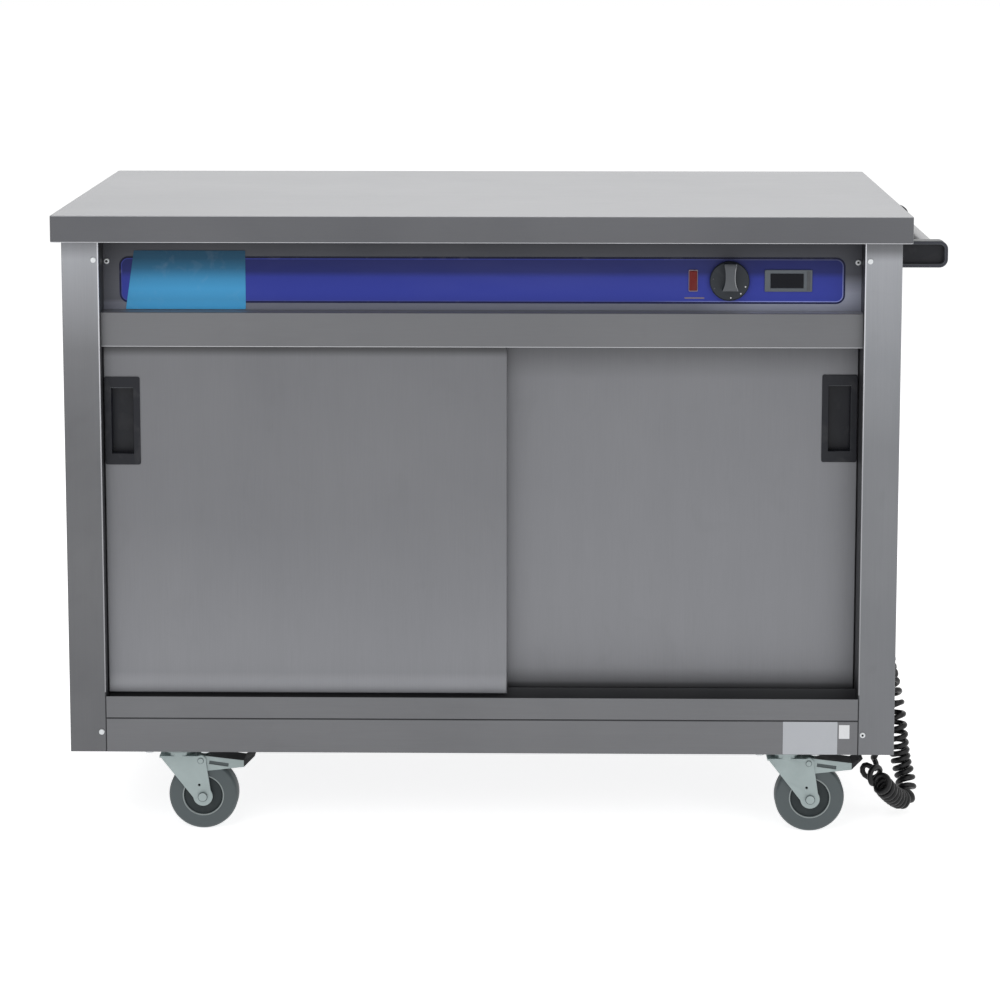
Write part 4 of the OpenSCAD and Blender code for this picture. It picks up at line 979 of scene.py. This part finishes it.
def make_knob():
    """Round skirt, waisted grip with painted light and a painted highlight, and plain dots, the left ones in painted
    shade.
    """
    low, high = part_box("thermostat_knob")
    centre = (low + high) / 2 / MM
    place = (centre.x, high.y / MM, centre.z)
    skirt = turned(
        [(3.1, 0), (27.0, 0), (28.0, 1.0), (28.0, 5.6), (27.2, 7.0), (25.4, 7.8), (3.1, 8.6), (3.1, 0)], 72
    )
    dots = []
    for degrees in DOT_ANGLES:
        angle = math.radians(degrees)
        dot = turned([(0, 0.35), (0.9, 0.25), (1.15, -0.2)], 14)
        # Dots past 90 degrees: painted shade
        finish_faces(dot.faces, 1 if degrees > 90 else 0)
        dots.append(placed(dot, (DOT_RADIUS * math.cos(angle), DOT_RADIUS * math.sin(angle), 8.05)))
    whole = placed(joined([skirt, knob_grip()]), place, FRONT)
    piece(whole, "knob_body", ["knob", "grip", "pale"], "knob", ("thermostat_knob",))
    piece(placed(joined(dots), place, FRONT), "knob_dots", ["white", "grip"], "knob", even=False)


def make_labels():
    """Blank label on the fascia and two blank plates on the plinth."""
    label = rounded_plate(163.5, 83.5, 0.3, 1.2)
    for v in label.verts:
        if v.co.x < 0:
            v.co.x += LABEL_LEAN * v.co.y
    front_piece(label, LABEL_PLACE, "fascia_label", "label", even=False)
    front_piece(rounded_plate(77.4, 47.6, 0.4, 1.0, 0.15), RATING_PLACE, "rating_plate", "plate")
    front_piece(rounded_plate(15, 20, 0.3, 0.6), SMALL_PLACE, "small_plate", "white", even=False)


# Fixings and handle

# Planes of the fixings' heads, as axis and place in mm
HEAD_PLANES = ((1, -317), (1, -274), (1, 317), (0, 564), (0, 565), (2, 119.5))
# Hollow rivets and the places of their heads in mm; black discs of painted shade fill their hollows
RIVETS = (
    ("left_rivet", (-559.8, -274, 829)),
    ("right_rivet", (499.8, -274, 829)),
    ("right_post_foot", (512, -317, 157)),
)


def make_fixings():
    """Screws and bolts with softened heads, and black discs of painted shade in the front rivets' hollows."""
    bm = node_copy("fixings")
    heads = [
        e for e in bm.edges if hard(e, 60) and any(on_plane(e, axis, value * MM) for axis, value in HEAD_PLANES)
    ]
    rounded_edges(bm, heads, 1.1 * MM)
    piece(bm, "screws", ["screw"], "cabinet", ("fixings",), 45)
    for name, place in RIVETS:
        front_piece(turned([(0, 0.25), (1.5, 0.2), (1.9, -0.1)], 20), place, name + "_hollow_shade", "black", even=False)


def make_handle():
    """Moulded brackets with soft edges, painted light on tops and rims, painted shade in sunk faces, and a satin bar.
    """
    low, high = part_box("handle_brackets")
    bm = node_copy("handle_brackets")
    rims = rounded_edges(bm, hard_edges(bm, 1, (low.y, high.y)), 1.0 * MM)
    for face in bm.faces:
        sunk = low.y + 0.5 * MM < face.calc_center_median().y < high.y - 0.5 * MM
        if face.normal.z > 0.6:
            face.material_index = 1
        elif sunk and abs(face.normal.y) > 0.9:
            face.material_index = 2
    finish_faces(rims, 1)
    piece(bm, "handle_brackets.dressed", ["plastic", "grip", "pull"], "cabinet", ("handle_brackets",))
    dressed("handle_bar", ["bar"])


# Castors

# Distance of the castors' middle from the cabinet's, and of cheeks and slot backs from a castor's, in mm
CASTOR_Y = 255
FORK_CHEEK = 21.3
PEDAL_CHEEK = 17.9
SLOT_BACK = 16.4
SLOT_SHEET = 0.5
# Lean of the pedal's slots in degrees
SLOT_LEAN = -8


def make_fork(name):
    """Pressed fork whose axle bolt has a rim of painted shade at its head and nut."""
    node = name + "_fork"
    low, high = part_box(node)
    bm = node_copy(node)
    # Rims of the bolt's head and nut: painted shade
    finish_faces(rounded_edges(bm, hard_edges(bm, 1, (low.y, high.y), 60), 1.0 * MM, 2), 1)
    cheek = (CASTOR_Y + FORK_CHEEK) * MM
    rounded_edges(bm, hard_edges(bm, 1, (-cheek, cheek), 60), bpy.context.scene.cupboard_sizes.zinc_edge, 2)
    piece(bm, node + ".dressed", ["zinc", "tyre"], body_of(node), (node,))


def ring_outline(*half):
    """Closed outline of a ring from its half, given outwards as radius and distance from the middle."""
    return [(r, -h) for r, h in half] + [*reversed(half)] + [(half[0][0], -half[0][1])]


def make_wheel(name):
    """Tyre with a soft crown and a hub with a light rim and a sunk web."""
    body = name + "_wheel"
    low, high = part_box(name + "_tyre")
    place = (low + high) / 2 / MM
    tyre = ring_outline((30.05, 16), (44.6, 16), (47.2, 15.2), (49.2, 12.6), (50, 8.5))
    rim = ring_outline((28.2, 15.7), (28.6, 16.2), (29.6, 16.2), (30, 15.7))
    web = ring_outline((4.05, 18), (11, 18), (12, 17.2), (12.6, 13.2), (14, 12.6), (26.4, 12.6), (28.2, 14.2))
    piece(placed(turned(tyre, 96), place, FRONT), name + "_tread", ["tyre"], body, (name + "_tyre",), 30)
    piece(placed(turned(web, 72), place, FRONT), name + "_web", ["hub"], body, (name + "_hub",), 30)
    piece(placed(turned(rim, 72), place, FRONT), name + "_rim", ["ring"], body, sharp=30)


def make_pedal(name):
    """Plated pedal with a black tread pad on its top, rims of painted shade, and grey backs of painted shade in its
    pressed slots.
    """
    node = name + "_pedal"
    low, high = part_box(node)
    tilt = FRONT @ Matrix.Rotation(math.radians(SLOT_LEAN), 4, "Z")
    slot_x, slot_z = high.x / MM - 52, high.z / MM - 13
    # Grey backs of painted shade in the pressed slots
    backs = [
        placed(rounded_plate(29, 6, SLOT_SHEET, 0.5), (slot_x, y, slot_z), tilt)
        for y in (-CASTOR_Y - SLOT_BACK, -CASTOR_Y + SLOT_BACK + SLOT_SHEET)
    ]
    piece(joined(backs), name + "_slot_shade", ["tyre"], body_of(node), even=False)
    bm = node_copy(node)
    rims = rounded_edges(bm, hard_edges(bm, 1, (low.y, high.y), 60), 0.7 * MM, 2)
    cheeks = [(side * PEDAL_CHEEK - CASTOR_Y) * MM for side in (-1, 1)]
    rounded_edges(bm, hard_edges(bm, 1, cheeks, 60), 0.3 * MM, 2)
    toe_x, heel_x = high.x - 16 * MM, low.x + 14 * MM
    cut(bm, (toe_x, 0, 0), (1, 0, 0))
    for face in bm.faces:
        middle = face.calc_center_median()
        tread = face.normal.z > 0.5 and abs(middle.y + CASTOR_Y * MM) < 17.5 * MM
        if middle.x > toe_x or tread and middle.x > heel_x:
            face.material_index = 1
    # Rims: painted shade
    finish_faces(rims, 2)
    piece(bm, name + "_lever", ["zinc", "black", "tyre"], body_of(node), (node,))


def make_castors():
    """Plates, forks and wheels, with brake pedals at the front."""
    dressed("castor_plates", ["zinc"])
    for name in CASTORS:
        make_fork(name)
        make_wheel(name)
        if name.startswith("front"):
            make_pedal(name)


# Studio

# Strength of the backdrop as a light, glow of the floor, and lamps with place, size and power
BACKDROP_LIGHT = 0.34
FLOOR_GLOW = 0.76
LAMPS = (
    ("key", (-1.6, -3.6, 3.4), 2.6, 38),
    ("fill", (2.6, -3.4, 2.4), 2.4, 23),
    ("top", (0.2, 1.6, 3.6), 2.6, 40),
)
LAMP_AIM = (0, 0, 0.5)


def make_backdrop(scene):
    """Backdrop that is white to the camera and in reflections, and weaker as a light."""
    world = bpy.data.worlds.new("studio")
    scene.world = world
    world.use_nodes = True
    nodes, links = world.node_tree.nodes, world.node_tree.links
    path = nodes.new("ShaderNodeLightPath")
    seen = path.outputs["Is Camera Ray"]
    for ray in ("Is Glossy Ray", "Is Transmission Ray"):
        most = nodes.new("ShaderNodeMath")
        most.operation = "MAXIMUM"
        links.new(seen, most.inputs[0])
        links.new(path.outputs[ray], most.inputs[1])
        seen = most.outputs[0]
    strength = nodes.new("ShaderNodeMapRange")
    strength.inputs["To Min"].default_value = BACKDROP_LIGHT
    strength.inputs["To Max"].default_value = 1.0
    links.new(seen, strength.inputs["Value"])
    links.new(strength.outputs[0], nodes["Background"].inputs["Strength"])
    nodes["Background"].inputs["Color"].default_value = (1, 1, 1, 1)


def make_floor(scene):
    """Wide pale floor."""
    bm = bmesh.new()
    bmesh.ops.create_grid(bm, x_segments=1, y_segments=1, size=30)
    mesh = bpy.data.meshes.new("floor")
    bm.to_mesh(mesh)
    bm.free()
    floor = bpy.data.objects.new("floor", mesh)
    scene.collection.objects.link(floor)
    pale = bpy.data.materials.new("pale_floor")
    pale.use_nodes = True
    sockets = pale.node_tree.nodes["Principled BSDF"].inputs
    sockets["Base Color"].default_value = (0.9, 0.9, 0.9, 1)
    sockets["Roughness"].default_value = 0.9
    sockets["Specular IOR Level"].default_value = 0.0
    sockets["Emission Color"].default_value = (1, 1, 1, 1)
    sockets["Emission Strength"].default_value = FLOOR_GLOW
    mesh.materials.append(pale)


def make_stage():
    """Backdrop, floor and lamps."""
    scene = bpy.context.scene
    scene.view_settings.view_transform = "Standard"
    make_backdrop(scene)
    make_floor(scene)
    for name, place, size, power in LAMPS:
        data = bpy.data.lights.new(name, "AREA")
        data.shape = "SQUARE"
        data.size = size
        data.energy = power
        lamp = bpy.data.objects.new(name, data)
        lamp.location = place
        aim = Vector(LAMP_AIM) - Vector(place)
        lamp.rotation_euler = aim.to_track_quat("-Z", "Y").to_euler()
        scene.collection.objects.link(lamp)


# Operators


class Step:
    """Building step that runs its makers in turn."""

    makers = ()

    def execute(self, context):
        for make in self.makers:
            make()
        return {"FINISHED"}


class CUPBOARD_OT_camera(Step, bpy.types.Operator):
    """Set the camera at the front view"""

    bl_idname = "cupboard.camera"
    bl_label = "Camera"
    makers = (aim_camera,)


class CUPBOARD_OT_lead(Step, bpy.types.Operator):
    """Make the curly mains lead with its gland, plug and holder"""

    bl_idname = "cupboard.lead"
    bl_label = "Curly lead"
    makers = (make_lead, make_holder)


class CUPBOARD_OT_worktop(Step, bpy.types.Operator):
    """Make the worktop as a folded pan with a bright hem"""

    bl_idname = "cupboard.worktop"
    bl_label = "Worktop"
    makers = (make_worktop,)


class CUPBOARD_OT_cabinet(Step, bpy.types.Operator):
    """Make the cabinet's folded sheets"""

    bl_idname = "cupboard.cabinet"
    bl_label = "Cabinet sheets"
    makers = (make_cabinet,)


class CUPBOARD_OT_cavity(Step, bpy.types.Operator):
    """Finish the heated cavity and the works behind it"""

    bl_idname = "cupboard.cavity"
    bl_label = "Heated cavity"
    makers = (make_cavity,)


class CUPBOARD_OT_doors(Step, bpy.types.Operator):
    """Make the sliding doors with their pulls and rollers"""

    bl_idname = "cupboard.doors"
    bl_label = "Sliding doors"
    makers = (make_doors,)


class CUPBOARD_OT_controls(Step, bpy.types.Operator):
    """Make the film, the lamp, the display and the knob"""

    bl_idname = "cupboard.controls"
    bl_label = "Controls"
    makers = (make_film, make_lamp, make_display, make_knob)


class CUPBOARD_OT_labels(Step, bpy.types.Operator):
    """Make the blank label and plates"""

    bl_idname = "cupboard.labels"
    bl_label = "Blank labels"
    makers = (make_labels,)


class CUPBOARD_OT_fixings(Step, bpy.types.Operator):
    """Make the screws and rivets"""

    bl_idname = "cupboard.fixings"
    bl_label = "Fixings"
    makers = (make_fixings,)


class CUPBOARD_OT_handle(Step, bpy.types.Operator):
    """Make the push handle"""

    bl_idname = "cupboard.handle"
    bl_label = "Push handle"
    makers = (make_handle,)


class CUPBOARD_OT_castors(Step, bpy.types.Operator):
    """Make the castors with their wheels and brake pedals"""

    bl_idname = "cupboard.castors"
    bl_label = "Castors"
    makers = (make_castors,)


class CUPBOARD_OT_stage(Step, bpy.types.Operator):
    """Set the floor, the backdrop and the lamps"""

    bl_idname = "cupboard.stage"
    bl_label = "Studio"
    makers = (make_stage,)


STEPS = (
    CUPBOARD_OT_camera,
    CUPBOARD_OT_lead,
    CUPBOARD_OT_worktop,
    CUPBOARD_OT_cabinet,
    CUPBOARD_OT_cavity,
    CUPBOARD_OT_doors,
    CUPBOARD_OT_controls,
    CUPBOARD_OT_labels,
    CUPBOARD_OT_fixings,
    CUPBOARD_OT_handle,
    CUPBOARD_OT_castors,
    CUPBOARD_OT_stage,
)


class CUPBOARD_PT_panel(bpy.types.Panel):
    """Lists the cupboard's building steps"""

    bl_idname = "CUPBOARD_PT_panel"
    bl_label = "Hot Cupboard"
    bl_space_type = "VIEW_3D"
    bl_region_type = "UI"
    bl_category = "Cupboard"

    def draw(self, context):
        for step in STEPS:
            self.layout.operator(step.bl_idname)
        for group in (context.scene.cupboard_sizes, context.scene.cupboard_colours):
            column = self.layout.column()
            for name in group.__annotations__:
                column.prop(group, name)


CLASSES = (CupboardColours, CupboardSizes, *STEPS, CUPBOARD_PT_panel)


def register():
    for made in CLASSES:
        bpy.utils.register_class(made)
    bpy.types.Scene.cupboard_colours = PointerProperty(type=CupboardColours)
    bpy.types.Scene.cupboard_sizes = PointerProperty(type=CupboardSizes)


def unregister():
    del bpy.types.Scene.cupboard_sizes
    del bpy.types.Scene.cupboard_colours
    for made in reversed(CLASSES):
        bpy.utils.unregister_class(made)


def main():
    register()
    bpy.ops.cupboard.camera()
    bpy.ops.cupboard.lead()
    bpy.ops.cupboard.worktop()
    bpy.ops.cupboard.cabinet()
    bpy.ops.cupboard.cavity()
    bpy.ops.cupboard.doors()
    bpy.ops.cupboard.controls()
    bpy.ops.cupboard.labels()
    bpy.ops.cupboard.fixings()
    bpy.ops.cupboard.handle()
    bpy.ops.cupboard.castors()
    bpy.ops.cupboard.stage()


if __name__ == "__main__":
    main()
